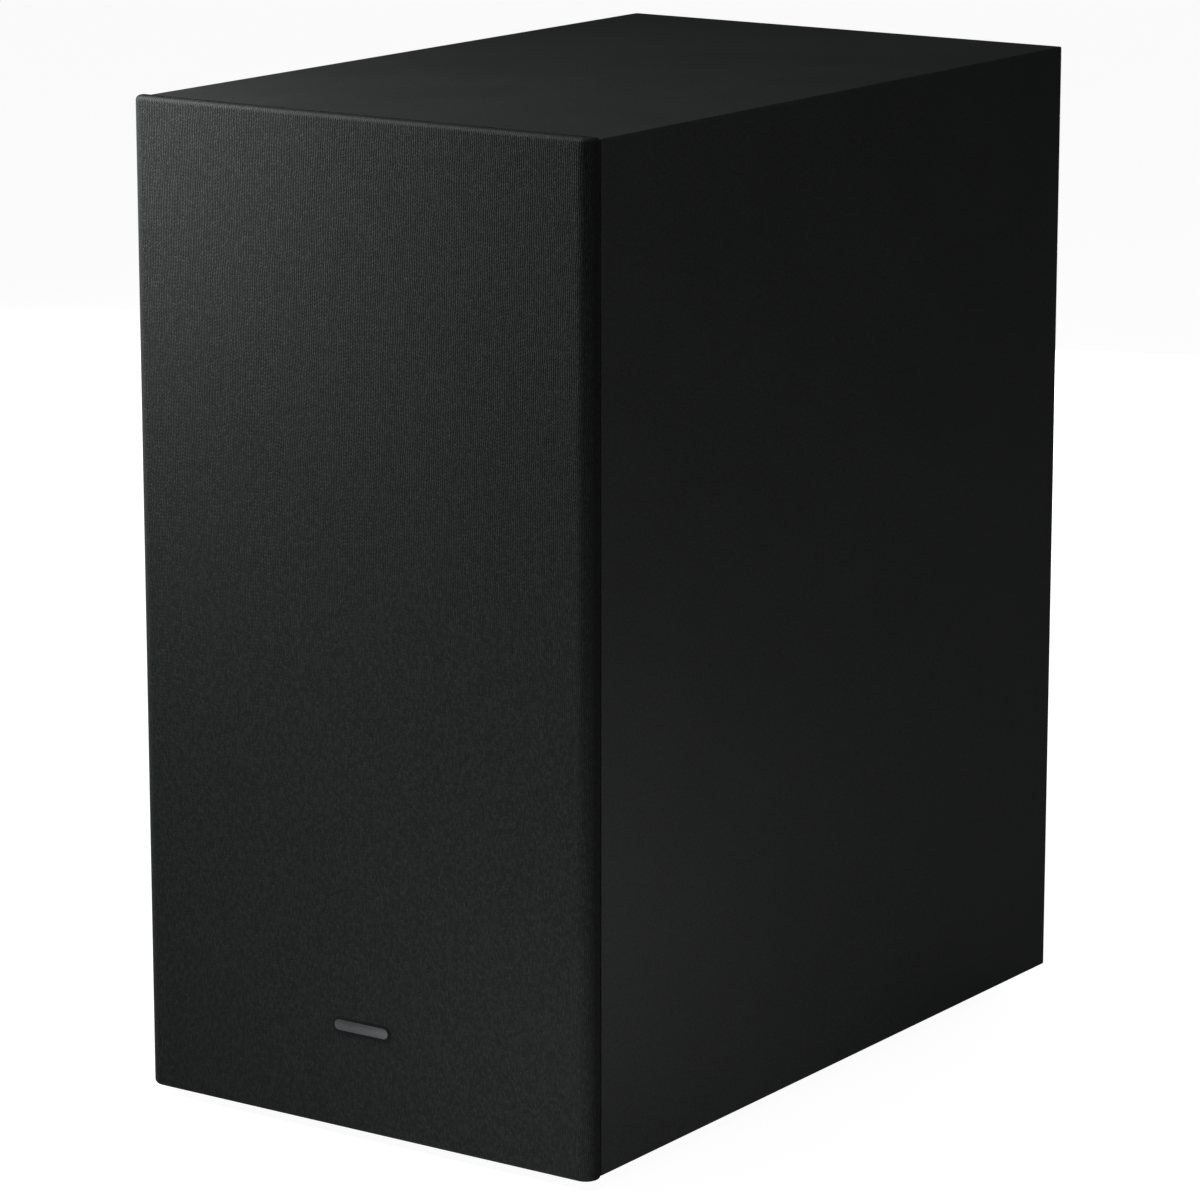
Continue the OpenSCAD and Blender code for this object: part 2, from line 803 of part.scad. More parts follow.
module speaker_lead() {
    pts = smooth_route(lead_route);
    count = len(pts);
    color("#55565a") polyhedron(
        points = [for (i = [0:count - 1]) each tube_ring(pts, i, lead_r)],
        faces = concat(
            [[for (k = [0:lead_sides - 1]) k]],
            [for (i = [0:count - 2], k = [0:lead_sides - 1]) let (n = (k + 1) % lead_sides)
                [i*lead_sides + k, (i + 1)*lead_sides + k, (i + 1)*lead_sides + n, i*lead_sides + n]],
            [[for (k = [lead_sides - 1:-1:0]) (count - 1)*lead_sides + k]]));
}

// Insulating boots on the woofer's tabs, with the yoke that the lead enters
module lead_boots() {
    end = lead_route[len(lead_route) - 1];
    boot_w = 6.4;
    boot_h = 4.4;
    boot_len = 6.5;
    yoke_len = 2.5;
    slot_fit = 0.1;
    color("#a03028") translate([0, end[1], end[2]]) {
        difference() {
            for (x = [-1, 1]) translate([x*tab_x - boot_w/2, -boot_len - yoke_len, -boot_h/2])
                cube([boot_w, boot_len + eps, boot_h]);
            for (x = [-1, 1])
                translate([x*tab_x - tab_w/2 - slot_fit, -boot_len - yoke_len - 1, -tab_t/2 - slot_fit])
                    cube([tab_w + 2*slot_fit, boot_len + 0.5, tab_t + 2*slot_fit]);
        }
        translate([-tab_x - boot_w/2, -yoke_len, -boot_h/2]) cube([2*tab_x + boot_w, yoke_len, boot_h]);
    }
}

module lead_clip() {
    at = [74, clip_y, 150];
    color("#e0e0da") translate(at) rotate([90, 0, 0]) linear_extrude(8, center = true) difference() {
        union() {
            circle(3.8, $fn = 48);
            translate([0, -3.8]) square([in_x - at[0] - 1.2, 7.6]);
            translate([in_x - at[0] - 1.4, -6]) square([1.4, 12]);
        }
        circle(lead_r + 0.3, $fn = 48);
    }
}

// Removable cloth grille

// Slab with rounded upright front edges, from y0 back to y1
module grille_slab(w, y0, y1, edge_r, z0, h) {
    translate([0, 0, z0]) linear_extrude(h) {
        translate([-w/2 + edge_r, y0]) square([w - 2*edge_r, y1 - y0]);
        translate([-w/2, y0 + edge_r]) square([w, y1 - y0 - edge_r]);
        intersection() {
            for (x = [-1, 1]) translate([x*(w/2 - edge_r), y0 + edge_r]) circle(edge_r, $fn = 48);
            translate([-w/2, y0]) square([w, edge_r + eps]);
        }
    }
}

module window(w, z0, z1) {
    translate([0, frame_back + 1, (z0 + z1)/2]) rotate([90, 0, 0]) linear_extrude(grille_d + 2)
        round_rect(w, z1 - z0, window_r);
}

module grille_frame() {
    opening_w = frame_w - 2*border;
    color("#1b1b1b") {
        difference() {
            grille_slab(frame_w, frame_front, frame_back, grille_edge_r - cloth_t, frame_z0, frame_h);
            difference() {
                union() {
                    window(opening_w, bar_z0 + bar_h, frame_z0 + frame_h - border);
                    window(opening_w, frame_z0 + border, bar_z0);
                }
                at_pegs() rotate([90, 0, 0]) cylinder(r = lug_r, h = 2*overall_d, center = true, $fn = 48);
                translate([-badge_pad_w/2, -overall_d, 0])
                    cube([badge_pad_w, overall_d, frame_z0 + border + badge_pad_h]);
            }
        }
        at_pegs() translate([0, frame_back, 0]) rotate([-90, 0, 0]) peg();
    }
}

// Boss, shaft and pointed tip of one grille peg
module peg() {
    boss_len = baffle_y - cup_flange_t - run_gap - frame_back;
    translate([0, 0, -eps]) cylinder(r = boss_r, h = boss_len + eps, $fn = pin_fn);
    translate([0, 0, boss_len - eps]) cylinder(r = peg_r, h = peg_len, $fn = pin_fn);
    translate([0, 0, boss_len + peg_len - 2*eps]) cylinder(r1 = peg_r, r2 = 1.6, h = 1.4, $fn = pin_fn);
}

module grille_cloth() {
    z0 = overall_h - grille_h();
    color("#2b2c2c") difference() {
        grille_slab(overall_w, grille_front, grille_back, grille_edge_r, z0, grille_h());
        grille_slab(overall_w - 2*cloth_t, grille_front + cloth_t, grille_back - cloth_t,
            grille_edge_r - cloth_t, z0 + cloth_t, grille_h() - 2*cloth_t);
        translate([-overall_w/2 + cloth_return, grille_back - 2, z0 + cloth_return])
            cube([overall_w - 2*cloth_return, 4, grille_h() - 2*cloth_return]);
    }
}

// Plain lozenge plate with rounded ends
module badge() {
    color("#8b9093") translate([0, grille_front, badge_z]) rotate([90, 0, 0]) linear_extrude(badge_proud)
        round_rect(badge_w, badge_h, badge_h/2 - 0.01);
}

top_panel();
bottom_panel();
left_panel();
right_panel();
front_baffle();
rear_panel();
cross_brace();
glue_blocks();
left_wadding();
right_wadding();
rubber_feet();
foot_screws();
grille_cups();
woofer_rim();
woofer_cage();
woofer_trim_ring();
surround();
spider();
top_plate();
magnet();
yoke();
woofer_screws();
woofer_terminals();
cone();
dust_cap();
voice_coil_former();
voice_coil();
port_outer_flare();
port_tube();
port_inner_flare();
port_screws();
amp_plate();
amp_gasket();
amp_screws();
board_standoffs();
main_board();
transformer();
capacitors();
heat_sink();
wireless_module();
ac_inlet();
ac_inlet_pins();
switch_body();
switch_plunger();
id_button();
led_lens();
led_chip();
board_connector();
speaker_lead();
lead_boots();
lead_clip();
grille_frame();
grille_cloth();
badge();
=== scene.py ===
# %% [markdown]
# # A subwoofer box in black vinyl and cloth
# The object is the tall wireless subwoofer of a soundbar set: a box of vinyl-wrapped boards
# with a cloth grille in front, and a bass port and an amplifier plate behind. The packed
# model already holds every board, screw and moving piece at its real size, so this lesson
# adds only what engineering solids lack: soft cloth, rounded edges and real finishes.

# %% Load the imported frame
import json
import math

import bmesh
import bpy
from mathutils import Matrix, Vector, noise
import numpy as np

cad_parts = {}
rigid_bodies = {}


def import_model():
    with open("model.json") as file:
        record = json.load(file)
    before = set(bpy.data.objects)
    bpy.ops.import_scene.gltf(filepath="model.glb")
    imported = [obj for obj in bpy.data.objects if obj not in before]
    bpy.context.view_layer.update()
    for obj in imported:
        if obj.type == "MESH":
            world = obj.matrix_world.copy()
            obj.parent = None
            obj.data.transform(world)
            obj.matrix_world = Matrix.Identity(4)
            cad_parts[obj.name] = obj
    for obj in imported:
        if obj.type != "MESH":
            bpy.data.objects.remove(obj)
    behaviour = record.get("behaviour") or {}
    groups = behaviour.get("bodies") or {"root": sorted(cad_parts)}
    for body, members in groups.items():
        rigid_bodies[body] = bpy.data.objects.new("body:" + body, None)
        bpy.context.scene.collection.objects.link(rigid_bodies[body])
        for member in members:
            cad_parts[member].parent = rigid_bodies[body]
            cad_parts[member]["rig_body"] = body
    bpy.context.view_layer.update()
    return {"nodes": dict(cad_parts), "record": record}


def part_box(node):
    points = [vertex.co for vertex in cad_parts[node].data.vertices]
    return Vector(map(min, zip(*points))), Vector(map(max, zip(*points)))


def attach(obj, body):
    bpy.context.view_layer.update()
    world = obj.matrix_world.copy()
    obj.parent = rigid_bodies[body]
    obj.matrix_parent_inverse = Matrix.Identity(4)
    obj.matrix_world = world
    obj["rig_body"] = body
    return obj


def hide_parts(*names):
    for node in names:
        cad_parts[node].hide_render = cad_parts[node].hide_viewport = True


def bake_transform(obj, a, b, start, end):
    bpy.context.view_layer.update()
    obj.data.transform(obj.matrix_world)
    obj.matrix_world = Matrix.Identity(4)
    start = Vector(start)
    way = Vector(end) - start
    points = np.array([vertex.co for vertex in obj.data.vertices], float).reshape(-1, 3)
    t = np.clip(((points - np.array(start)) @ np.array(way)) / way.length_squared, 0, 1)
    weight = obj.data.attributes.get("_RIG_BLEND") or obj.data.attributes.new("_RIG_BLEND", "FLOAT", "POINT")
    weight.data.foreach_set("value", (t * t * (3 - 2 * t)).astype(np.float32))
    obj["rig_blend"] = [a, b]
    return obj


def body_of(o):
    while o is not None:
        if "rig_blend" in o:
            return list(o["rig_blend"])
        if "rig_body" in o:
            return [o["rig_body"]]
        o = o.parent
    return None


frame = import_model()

nodes = frame["nodes"]
MM = 0.001

# %% [markdown]
# ## The camera
# A long lens from the front right and a little above keeps the tall edges nearly parallel,
# so the box looks upright. The camera turns about a point inside the cabinet, so
# its place follows from two angles and a distance.

# %% Place the camera
VIEW_AZIMUTH = math.radians(34.67)
VIEW_ELEVATION = math.radians(13.0)
VIEW_DISTANCE = 1.819
LENS_MM = 156.0
look_at = Vector((-0.0056, 0.0, 0.1564))

toward_camera = Vector((
    math.sin(VIEW_AZIMUTH) * math.cos(VIEW_ELEVATION),
    -math.cos(VIEW_AZIMUTH) * math.cos(VIEW_ELEVATION),
    math.sin(VIEW_ELEVATION),
))
camera = bpy.data.objects.new("camera", bpy.data.cameras.new("camera"))
bpy.context.scene.collection.objects.link(camera)
camera.data.lens = LENS_MM
camera.data.sensor_width = 36.0
camera.data.clip_end = 100.0
camera.location = look_at + toward_camera * VIEW_DISTANCE
camera.rotation_euler = (-toward_camera).to_track_quat("-Z", "Y").to_euler()
bpy.context.scene.camera = camera
print("camera at", [round(v, 3) for v in camera.location])

# %% [markdown]
# ## Light and floor
# Black objects are lit by what they reflect. One soft panel high on the left front rakes
# across the cloth, so the cloth is brightest in its top left corner and fades to the lower
# right. Two low cards lift the foot of the front and of the side, weak panels above and at
# the right keep the shadows open, and one low strip behind and one at the left light the
# back and the left side. The floor and the backdrop look pale to the camera but shine
# little on the box, as when black card is set round a black product to keep it black.

# %% Light the set
BOX_MIDDLE = (0.0, 0.0, 0.2)


def area_light(name, at, size, watts, colour=(1.0, 1.0, 1.0), aim=BOX_MIDDLE):
    """Add a rectangular soft light that faces a point and stays out of the picture."""
    data = bpy.data.lights.new(name, "AREA")
    data.shape = "RECTANGLE"
    data.size, data.size_y = size
    data.energy = watts
    data.color = colour
    light = bpy.data.objects.new(name, data)
    light.location = at
    light.rotation_euler = (Vector(aim) - Vector(at)).to_track_quat("-Z", "Y").to_euler()
    light.visible_camera = False
    bpy.context.scene.collection.objects.link(light)
    return light


COOL_WHITE = (0.96, 1.0, 0.99)
area_light("key_panel", (-0.22, -0.255, 0.43), (0.15, 0.15), 1.24, COOL_WHITE)
FRONT_FOOT = (0.07, -0.147, 0.02)
SIDE_FOOT = (0.0913, -0.08, 0.02)
area_light("front_card", (0.10, -0.33, 0.01), (0.14, 0.03), 0.14, COOL_WHITE, aim=FRONT_FOOT)
area_light("side_card", (0.34, -0.05, 0.02), (0.20, 0.03), 0.10, aim=SIDE_FOOT)
area_light("side_panel", (2.0, -0.10, 0.50), (1.0, 0.8), 4.6)
area_light("overhead_panel", (-0.10, -0.10, 1.40), (0.8, 0.8), 4.2, COOL_WHITE)
area_light("rear_strip", (-0.50, 1.30, 0.15), (0.9, 0.26), 14.0)
area_light("left_strip", (-1.40, 0.30, 0.15), (0.8, 0.26), 7.0)

WORLD_LIGHT = 0.01
BACKDROP = 1.0
world = bpy.data.worlds.new("studio")
bpy.context.scene.world = world
world.use_nodes = True
tree = world.node_tree
tree.nodes.clear()
seen = tree.nodes.new("ShaderNodeLightPath")
shine = tree.nodes.new("ShaderNodeBackground")
shine.inputs["Color"].default_value = (0.97, 1.0, 1.0, 1.0)
shine.inputs["Strength"].default_value = WORLD_LIGHT
paper = tree.nodes.new("ShaderNodeBackground")
paper.inputs["Color"].default_value = (1.0, 1.0, 1.0, 1.0)
paper.inputs["Strength"].default_value = BACKDROP
choose = tree.nodes.new("ShaderNodeMixShader")
output = tree.nodes.new("ShaderNodeOutputWorld")
tree.links.new(seen.outputs["Is Camera Ray"], choose.inputs["Fac"])
tree.links.new(shine.outputs[0], choose.inputs[1])
tree.links.new(paper.outputs[0], choose.inputs[2])
tree.links.new(choose.outputs[0], output.inputs["Surface"])
bpy.context.scene.view_settings.view_transform = "Standard"

# %% [markdown]
# ## Helpers for node trees
# Every finish below is a small tree of shader nodes. Two helpers keep them readable: one
# adds a node and fills its sockets by name, the other starts a material whose pattern is
# measured in metres on the object itself, so grain and weave keep their real scale.

# %% Node helpers
def add_node(tree, kind, inputs=None, **settings):
    """Add a node, set its properties, and fill sockets with values or links."""
    node = tree.nodes.new(kind)
    for key, value in settings.items():
        setattr(node, key, value)
    for key, value in (inputs or {}).items():
        socket = node.inputs[key]
        if isinstance(value, bpy.types.NodeSocket):
            tree.links.new(value, socket)
        else:
            socket.default_value = value
    return node


def new_group(name, inputs, outputs):
    """Start a shader node group with named float or vector sockets."""
    group = bpy.data.node_groups.new(name, "ShaderNodeTree")
    for socket, value in inputs.items():
        kind = "NodeSocketVector" if isinstance(value, tuple) else "NodeSocketFloat"
        made = group.interface.new_socket(socket, in_out="INPUT", socket_type=kind)
        made.default_value = value
    for socket in outputs:
        group.interface.new_socket(socket, in_out="OUTPUT", socket_type="NodeSocketFloat")
    group_in = group.nodes.new("NodeGroupInput")
    group_out = group.nodes.new("NodeGroupOutput")
    return group, group_in.outputs, group_out.inputs


def math_node(tree, operation, a, b=0.0, clamp=False):
    """One Math node, returned as its output socket."""
    return add_node(tree, "ShaderNodeMath", {0: a, 1: b}, operation=operation, use_clamp=clamp).outputs[0]


def to_range(tree, value, low, high, new_low, new_high):
    """Map a value from one range to another, held inside the new one."""
    node = add_node(tree, "ShaderNodeMapRange", {
        "Value": value, "From Min": low, "From Max": high, "To Min": new_low, "To Max": new_high})
    return node.outputs["Result"]


# %% [markdown]
# ## Three effects that many finishes share
# *Fine grain* is the pebbled skin of vinyl and moulded plastic, with a slow blotch that
# stands for handling. *Brushed lines* are the drawn-out scratches of rolled metal. *Edge
# wear and highlight* finds how near a point is to an edge of a box-shaped piece. It lightens
# the vinyl's edges, since edges lose their colour first, and it places the painted highlight
# on the cloth's hems; its patchiness breaks the rub up where hands have missed it. Each is a
# node group, so one change reaches every finish that uses it.

# %% Build the fine grain group
grain_group, g_in, g_out = new_group(
    "fine_grain", {"Vector": (0.0, 0.0, 0.0), "Grain per metre": 2000.0, "Blotch per metre": 30.0},
    ["Height", "Blotch"])
pebbles = add_node(grain_group, "ShaderNodeTexVoronoi", {
    "Vector": g_in["Vector"], "Scale": g_in["Grain per metre"], "Randomness": 1.0},
    feature="SMOOTH_F1")
dust = add_node(grain_group, "ShaderNodeTexNoise", {
    "Vector": g_in["Vector"], "Scale": g_in["Grain per metre"], "Detail": 3.0, "Roughness": 0.6})
blotch = add_node(grain_group, "ShaderNodeTexNoise", {
    "Vector": g_in["Vector"], "Scale": g_in["Blotch per metre"], "Detail": 4.0, "Roughness": 0.55})
height = math_node(grain_group, "MULTIPLY_ADD", pebbles.outputs["Distance"], -0.6)
height.node.inputs[2].default_value = 0.8
height = math_node(grain_group, "ADD", height, math_node(grain_group, "MULTIPLY", dust.outputs["Fac"], 0.4))
grain_group.links.new(height, g_out["Height"])
grain_group.links.new(blotch.outputs["Fac"], g_out["Blotch"])

# %% Build the brushed lines group
brush_group, b_in, b_out = new_group(
    "brushed_lines", {"Vector": (0.0, 0.0, 0.0), "Stretch": (60.0, 3000.0, 3000.0)}, ["Height"])
stretched = add_node(brush_group, "ShaderNodeVectorMath", {
    0: b_in["Vector"], 1: b_in["Stretch"]}, operation="MULTIPLY")
lines = add_node(brush_group, "ShaderNodeTexNoise", {
    "Vector": stretched.outputs[0], "Scale": 1.0, "Detail": 3.0, "Roughness": 0.65})
brush_group.links.new(lines.outputs["Fac"], b_out["Height"])

# %% Build the edge wear and highlight group
edge_wear_and_highlight_group, e_in, e_out = new_group(
    "edge_wear_and_highlight", {"Vector": (0.0, 0.0, 0.0), "Centre": (0.0, 0.0, 0.0), "Half size": (0.1, 0.1, 0.1),
                 "Width": 0.002, "Patchiness": 1.0}, ["Mask"])
offset = add_node(edge_wear_and_highlight_group, "ShaderNodeVectorMath", {0: e_in["Vector"], 1: e_in["Centre"]},
                  operation="SUBTRACT")
distance = add_node(edge_wear_and_highlight_group, "ShaderNodeVectorMath", {0: offset.outputs[0]}, operation="ABSOLUTE")
inside = add_node(edge_wear_and_highlight_group, "ShaderNodeVectorMath", {0: e_in["Half size"], 1: distance.outputs[0]},
                  operation="SUBTRACT")
axes = add_node(edge_wear_and_highlight_group, "ShaderNodeSeparateXYZ", {0: inside.outputs[0]}).outputs
total = math_node(edge_wear_and_highlight_group, "ADD", math_node(edge_wear_and_highlight_group, "ADD", axes[0], axes[1]), axes[2])
largest = math_node(edge_wear_and_highlight_group, "MAXIMUM", math_node(edge_wear_and_highlight_group, "MAXIMUM", axes[0], axes[1]), axes[2])
smallest = math_node(edge_wear_and_highlight_group, "MINIMUM", math_node(edge_wear_and_highlight_group, "MINIMUM", axes[0], axes[1]), axes[2])
# Three distances to the faces: the middle one is the distance to the nearest edge
middle = math_node(edge_wear_and_highlight_group, "SUBTRACT", math_node(edge_wear_and_highlight_group, "SUBTRACT", total, largest), smallest)
share = math_node(edge_wear_and_highlight_group, "DIVIDE", middle, e_in["Width"])
closeness = math_node(edge_wear_and_highlight_group, "SUBTRACT", 1.0, share, clamp=True)
patchy = add_node(edge_wear_and_highlight_group, "ShaderNodeTexNoise", {
    "Vector": e_in["Vector"], "Scale": 220.0, "Detail": 4.0, "Roughness": 0.7})
patches = to_range(edge_wear_and_highlight_group, patchy.outputs["Fac"], 0.4, 0.62, 0.0, 1.0)
bare = math_node(edge_wear_and_highlight_group, "SUBTRACT", 1.0, e_in["Patchiness"])
kept = math_node(edge_wear_and_highlight_group, "ADD", bare, math_node(edge_wear_and_highlight_group, "MULTIPLY", patches, e_in["Patchiness"]))
mask = math_node(edge_wear_and_highlight_group, "MULTIPLY", closeness, kept)
edge_wear_and_highlight_group.links.new(mask, e_out["Mask"])
print("node groups:", [g.name for g in bpy.data.node_groups])

# %% [markdown]
# ## Making a finish
# A finish starts from a Principled shader whose colour, roughness and bump are driven by
# the groups. The plain numbers that are the same all over stay on the shader's own sockets.

# %% A general finish
def colour(value, factor=1.0):
    """Linear colour as four numbers, made lighter or darker by a factor."""
    return (*[min(1.0, c * factor) for c in value], 1.0)


def start_material(name, uv=None):
    """New material with an empty Principled shader and the coordinates of its pattern."""
    material = bpy.data.materials.new(name)
    material.use_nodes = True
    tree = material.node_tree
    shader = tree.nodes["Principled BSDF"]
    if uv:
        place = add_node(tree, "ShaderNodeUVMap", uv_map=uv).outputs["UV"]
    else:
        place = add_node(tree, "ShaderNodeTexCoord").outputs["Object"]
    return material, tree, shader, place


def moulded(name, base, roughness, grain=1800.0, depth=0.00002, metallic=0.0, spread=0.25,
            specular=0.5, haze=0.06, brushed=None, rub=None, ribs=None):
    """Finish for plastic, paint, rubber and metal, with grain, blotches and rubbed edges."""
    material, tree, shader, place = start_material(name)
    marks = add_node(tree, "ShaderNodeGroup", node_tree=grain_group)
    tree.links.new(place, marks.inputs["Vector"])
    marks.inputs["Grain per metre"].default_value = grain
    cloud = to_range(tree, marks.outputs["Blotch"], 0.3, 0.7, 0.0, 0.2)
    fleck = to_range(tree, marks.outputs["Height"], 0.55, 0.95, 0.0, 0.8)
    tint = add_node(tree, "ShaderNodeMix", {
        "Factor": math_node(tree, "ADD", cloud, fleck),
        "A": colour(base, 1.0 - spread / 2), "B": colour(base, 1.0 + spread)}, data_type="RGBA")
    result = tint.outputs["Result"]
    if rub:
        worn = add_node(tree, "ShaderNodeGroup", node_tree=edge_wear_and_highlight_group)
        tree.links.new(place, worn.inputs["Vector"])
        low, high = rub["box"]
        worn.inputs["Centre"].default_value = (low + high) / 2
        worn.inputs["Half size"].default_value = (high - low) / 2
        worn.inputs["Width"].default_value = rub["width"]
        lighter = add_node(tree, "ShaderNodeMix", {
            "Factor": math_node(tree, "MULTIPLY", worn.outputs["Mask"], rub["strength"]),
            "A": result, "B": colour(rub["colour"])}, data_type="RGBA")
        result = lighter.outputs["Result"]
    relief = marks.outputs["Height"]
    if brushed:
        drawn = add_node(tree, "ShaderNodeGroup", node_tree=brush_group)
        tree.links.new(place, drawn.inputs["Vector"])
        drawn.inputs["Stretch"].default_value = brushed
        relief = math_node(tree, "ADD", math_node(tree, "MULTIPLY", relief, 0.2), drawn.outputs["Height"])
    if ribs:
        spread_out = add_node(tree, "ShaderNodeMapping", {
            "Vector": place, "Location": (0.0, 0.0, -ribs["axis_height"]), "Scale": (1.0, 0.0, 1.0)})
        radius = add_node(tree, "ShaderNodeVectorMath", {0: spread_out.outputs[0]}, operation="LENGTH")
        turns = math_node(tree, "MULTIPLY", radius.outputs["Value"], math.tau / ribs["pitch"])
        ridge = math_node(tree, "MULTIPLY", math_node(tree, "SINE", turns), 4.0)
        relief = math_node(tree, "ADD", relief, ridge)
    bump = add_node(tree, "ShaderNodeBump", {"Height": relief, "Distance": depth, "Strength": 1.0})
    rough = to_range(tree, marks.outputs["Blotch"], 0.3, 0.7, roughness - haze, min(1.0, roughness + haze))
    tree.links.new(result, shader.inputs["Base Color"])
    tree.links.new(rough, shader.inputs["Roughness"])
    tree.links.new(bump.outputs["Normal"], shader.inputs["Normal"])
    shader.inputs["Metallic"].default_value = metallic
    shader.inputs["Specular IOR Level"].default_value = specular
    return material


# %% [markdown]
# ## Finishes of the small pieces
# Most inner and rear pieces are common workshop materials. They share the general finish
# and differ in colour, shine and grain, so a table of values reads better than thirty
# near-equal functions.

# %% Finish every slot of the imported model
ALONG_X = (60.0, 3000.0, 3000.0)
ALONG_Y = (3000.0, 80.0, 3000.0)
WOUND = (2200.0, 9000.0, 2200.0)
WOOFER_HEIGHT = (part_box("cone")[0][2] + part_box("cone")[1][2]) / 2
CONE_RIBS = {"axis_height": WOOFER_HEIGHT, "pitch": 6.2 * MM}
slot_finish = {
    "painted_board": moulded("painted_board_black", (0.014, 0.014, 0.0145), 0.62, grain=900.0,
                             depth=0.00004),
    "bare_fibreboard": moulded("bare_fibreboard", (0.36, 0.24, 0.14), 0.85, grain=1400.0,
                               depth=0.00006, spread=0.4),
    "foot_rubber": moulded("black_rubber", (0.012, 0.012, 0.012), 0.8, grain=2500.0, depth=0.00003),
    "black_screw_steel": moulded("blackened_steel", (0.035, 0.034, 0.033), 0.36, grain=3000.0,
                                 metallic=0.9),
    "basket_steel": moulded("black_painted_steel", (0.02, 0.02, 0.021), 0.38, grain=2200.0),
    "surround_rubber": moulded("butyl_rubber", (0.013, 0.013, 0.013), 0.5, grain=2600.0, depth=0.00001),
    "spider_cloth": moulded("resin_cloth", (0.42, 0.27, 0.09), 0.85, grain=1600.0, depth=0.00008),
    "zinc_steel": moulded("zinc_plated_steel", (0.55, 0.55, 0.52), 0.33, metallic=1.0, brushed=ALONG_X),
    "ferrite": moulded("ferrite", (0.045, 0.045, 0.048), 0.6, grain=1500.0, depth=0.00004),
    "brass_tabs": moulded("tinned_brass", (0.66, 0.48, 0.2), 0.3, metallic=1.0, brushed=ALONG_X),
    "cone_paper": moulded("pressed_paper", (0.016, 0.016, 0.0165), 0.78, grain=1100.0, depth=0.0001,
                          spread=0.5, ribs=CONE_RIBS),
    "former_paper": moulded("coil_former", (0.5, 0.36, 0.17), 0.6, grain=1500.0),
    "copper_winding": moulded("enamelled_copper", (0.62, 0.22, 0.07), 0.3, metallic=1.0,
                              brushed=WOUND),
    "port_plastic": moulded("satin_port_plastic", (0.014, 0.0145, 0.015), 0.4, grain=1500.0,
                            depth=0.00001),
    "amp_plate_plastic": moulded("amplifier_plate", (0.017, 0.0175, 0.018), 0.55, grain=1300.0,
                                 depth=0.00005),
    "board_standoff_plastic": moulded("standoff_plastic", (0.03, 0.03, 0.03), 0.5),
    "circuit_board": moulded("solder_mask", (0.02, 0.12, 0.05), 0.3, grain=700.0, depth=0.00001,
                             spread=0.6),
    "transformer_wrap": moulded("transformer_tape", (0.55, 0.4, 0.06), 0.35, grain=900.0),
    "capacitor_sleeve": moulded("capacitor_sleeve", (0.02, 0.025, 0.05), 0.3, grain=900.0),
    "sink_aluminium": moulded("extruded_aluminium", (0.6, 0.61, 0.62), 0.38, metallic=1.0,
                              brushed=ALONG_Y),
    "shield_tin": moulded("shield_tin", (0.68, 0.68, 0.66), 0.28, metallic=1.0, brushed=ALONG_X),
    "inlet_plastic": moulded("inlet_plastic", (0.012, 0.012, 0.012), 0.32, grain=1600.0, depth=0.00001),
    "pin_nickel": moulded("nickel_pins", (0.7, 0.69, 0.64), 0.2, metallic=1.0, brushed=ALONG_Y),
    "switch_plastic": moulded("switch_plastic", (0.03, 0.03, 0.03), 0.45),
    "plunger_plastic": moulded("plunger_plastic", (0.6, 0.6, 0.57), 0.45),
    "button_plastic": moulded("button_plastic", (0.028, 0.0285, 0.029), 0.36, grain=1500.0, depth=0.00001),
    "led_package": moulded("lamp_package", (0.8, 0.77, 0.55), 0.3),
    "connector_nylon": moulded("connector_nylon", (0.74, 0.7, 0.58), 0.5),
    "lead_jacket": moulded("lead_jacket", (0.05, 0.05, 0.055), 0.55, grain=1500.0),
    "boot_vinyl": moulded("red_boot_vinyl", (0.36, 0.02, 0.015), 0.4),
    "clip_nylon": moulded("clip_nylon", (0.72, 0.72, 0.68), 0.5),
    "frame_plastic": moulded("grille_frame_plastic", (0.012, 0.012, 0.0125), 0.6, grain=1300.0,
                             depth=0.00004),
    "clear_lens": moulded("lamp_lens", (0.5, 0.52, 0.52), 0.12, grain=600.0, depth=0.000005),
    "vinyl_wrapped_board": moulded("vinyl_plain", (0.012, 0.0125, 0.0125), 0.6),
    "grille_fabric": moulded("cloth_plain", (0.02, 0.02, 0.02), 0.9),
    "polyester_wadding": moulded("wadding_plain", (0.7, 0.7, 0.68), 0.95, grain=500.0, depth=0.0005),
    "badge_metal": moulded("badge_plain", (0.3, 0.31, 0.32), 0.35, metallic=1.0),
}
lens_shader = slot_finish["clear_lens"].node_tree.nodes["Principled BSDF"]
lens_shader.inputs["Transmission Weight"].default_value = 0.6
slot_of = {s["node"]: s["material_slot"] for s in frame["record"]["subparts"]}
for node, slot_name in slot_of.items():
    mesh = nodes[node].data
    for i in range(len(mesh.materials)):
        mesh.materials[i] = slot_finish[slot_name]
print("finished slots:", len(slot_finish))

# %% [markdown]
# ## Turning a bmesh into a piece
# Each new piece is shaped in a bmesh and then finished once: its normals are made to
# point outwards, sharp edges are marked by angle so flat faces stay flat, it is given its
# finishes and the body that carries it, and the imported node it stands for is hidden.

# %% Piece helpers
def box_bmesh(low, high):
    """A bmesh holding one box between two corners."""
    bm = bmesh.new()
    place = Matrix.Translation((low + high) / 2) @ Matrix.Diagonal((*(high - low), 1.0))
    bmesh.ops.create_cube(bm, size=1.0, matrix=place)
    return bm


def round_edges(bm, edges, radius, segments):
    """Round some edges of a bmesh with a circular profile."""
    return bmesh.ops.bevel(bm, geom=edges, offset=radius, segments=segments, profile=0.5,
                           affect="EDGES", material=-1, clamp_overlap=True)


def edges_at(bm, test):
    """Edges whose two ends both pass a test on their position."""
    return [e for e in bm.edges if all(test(v.co) for v in e.verts)]


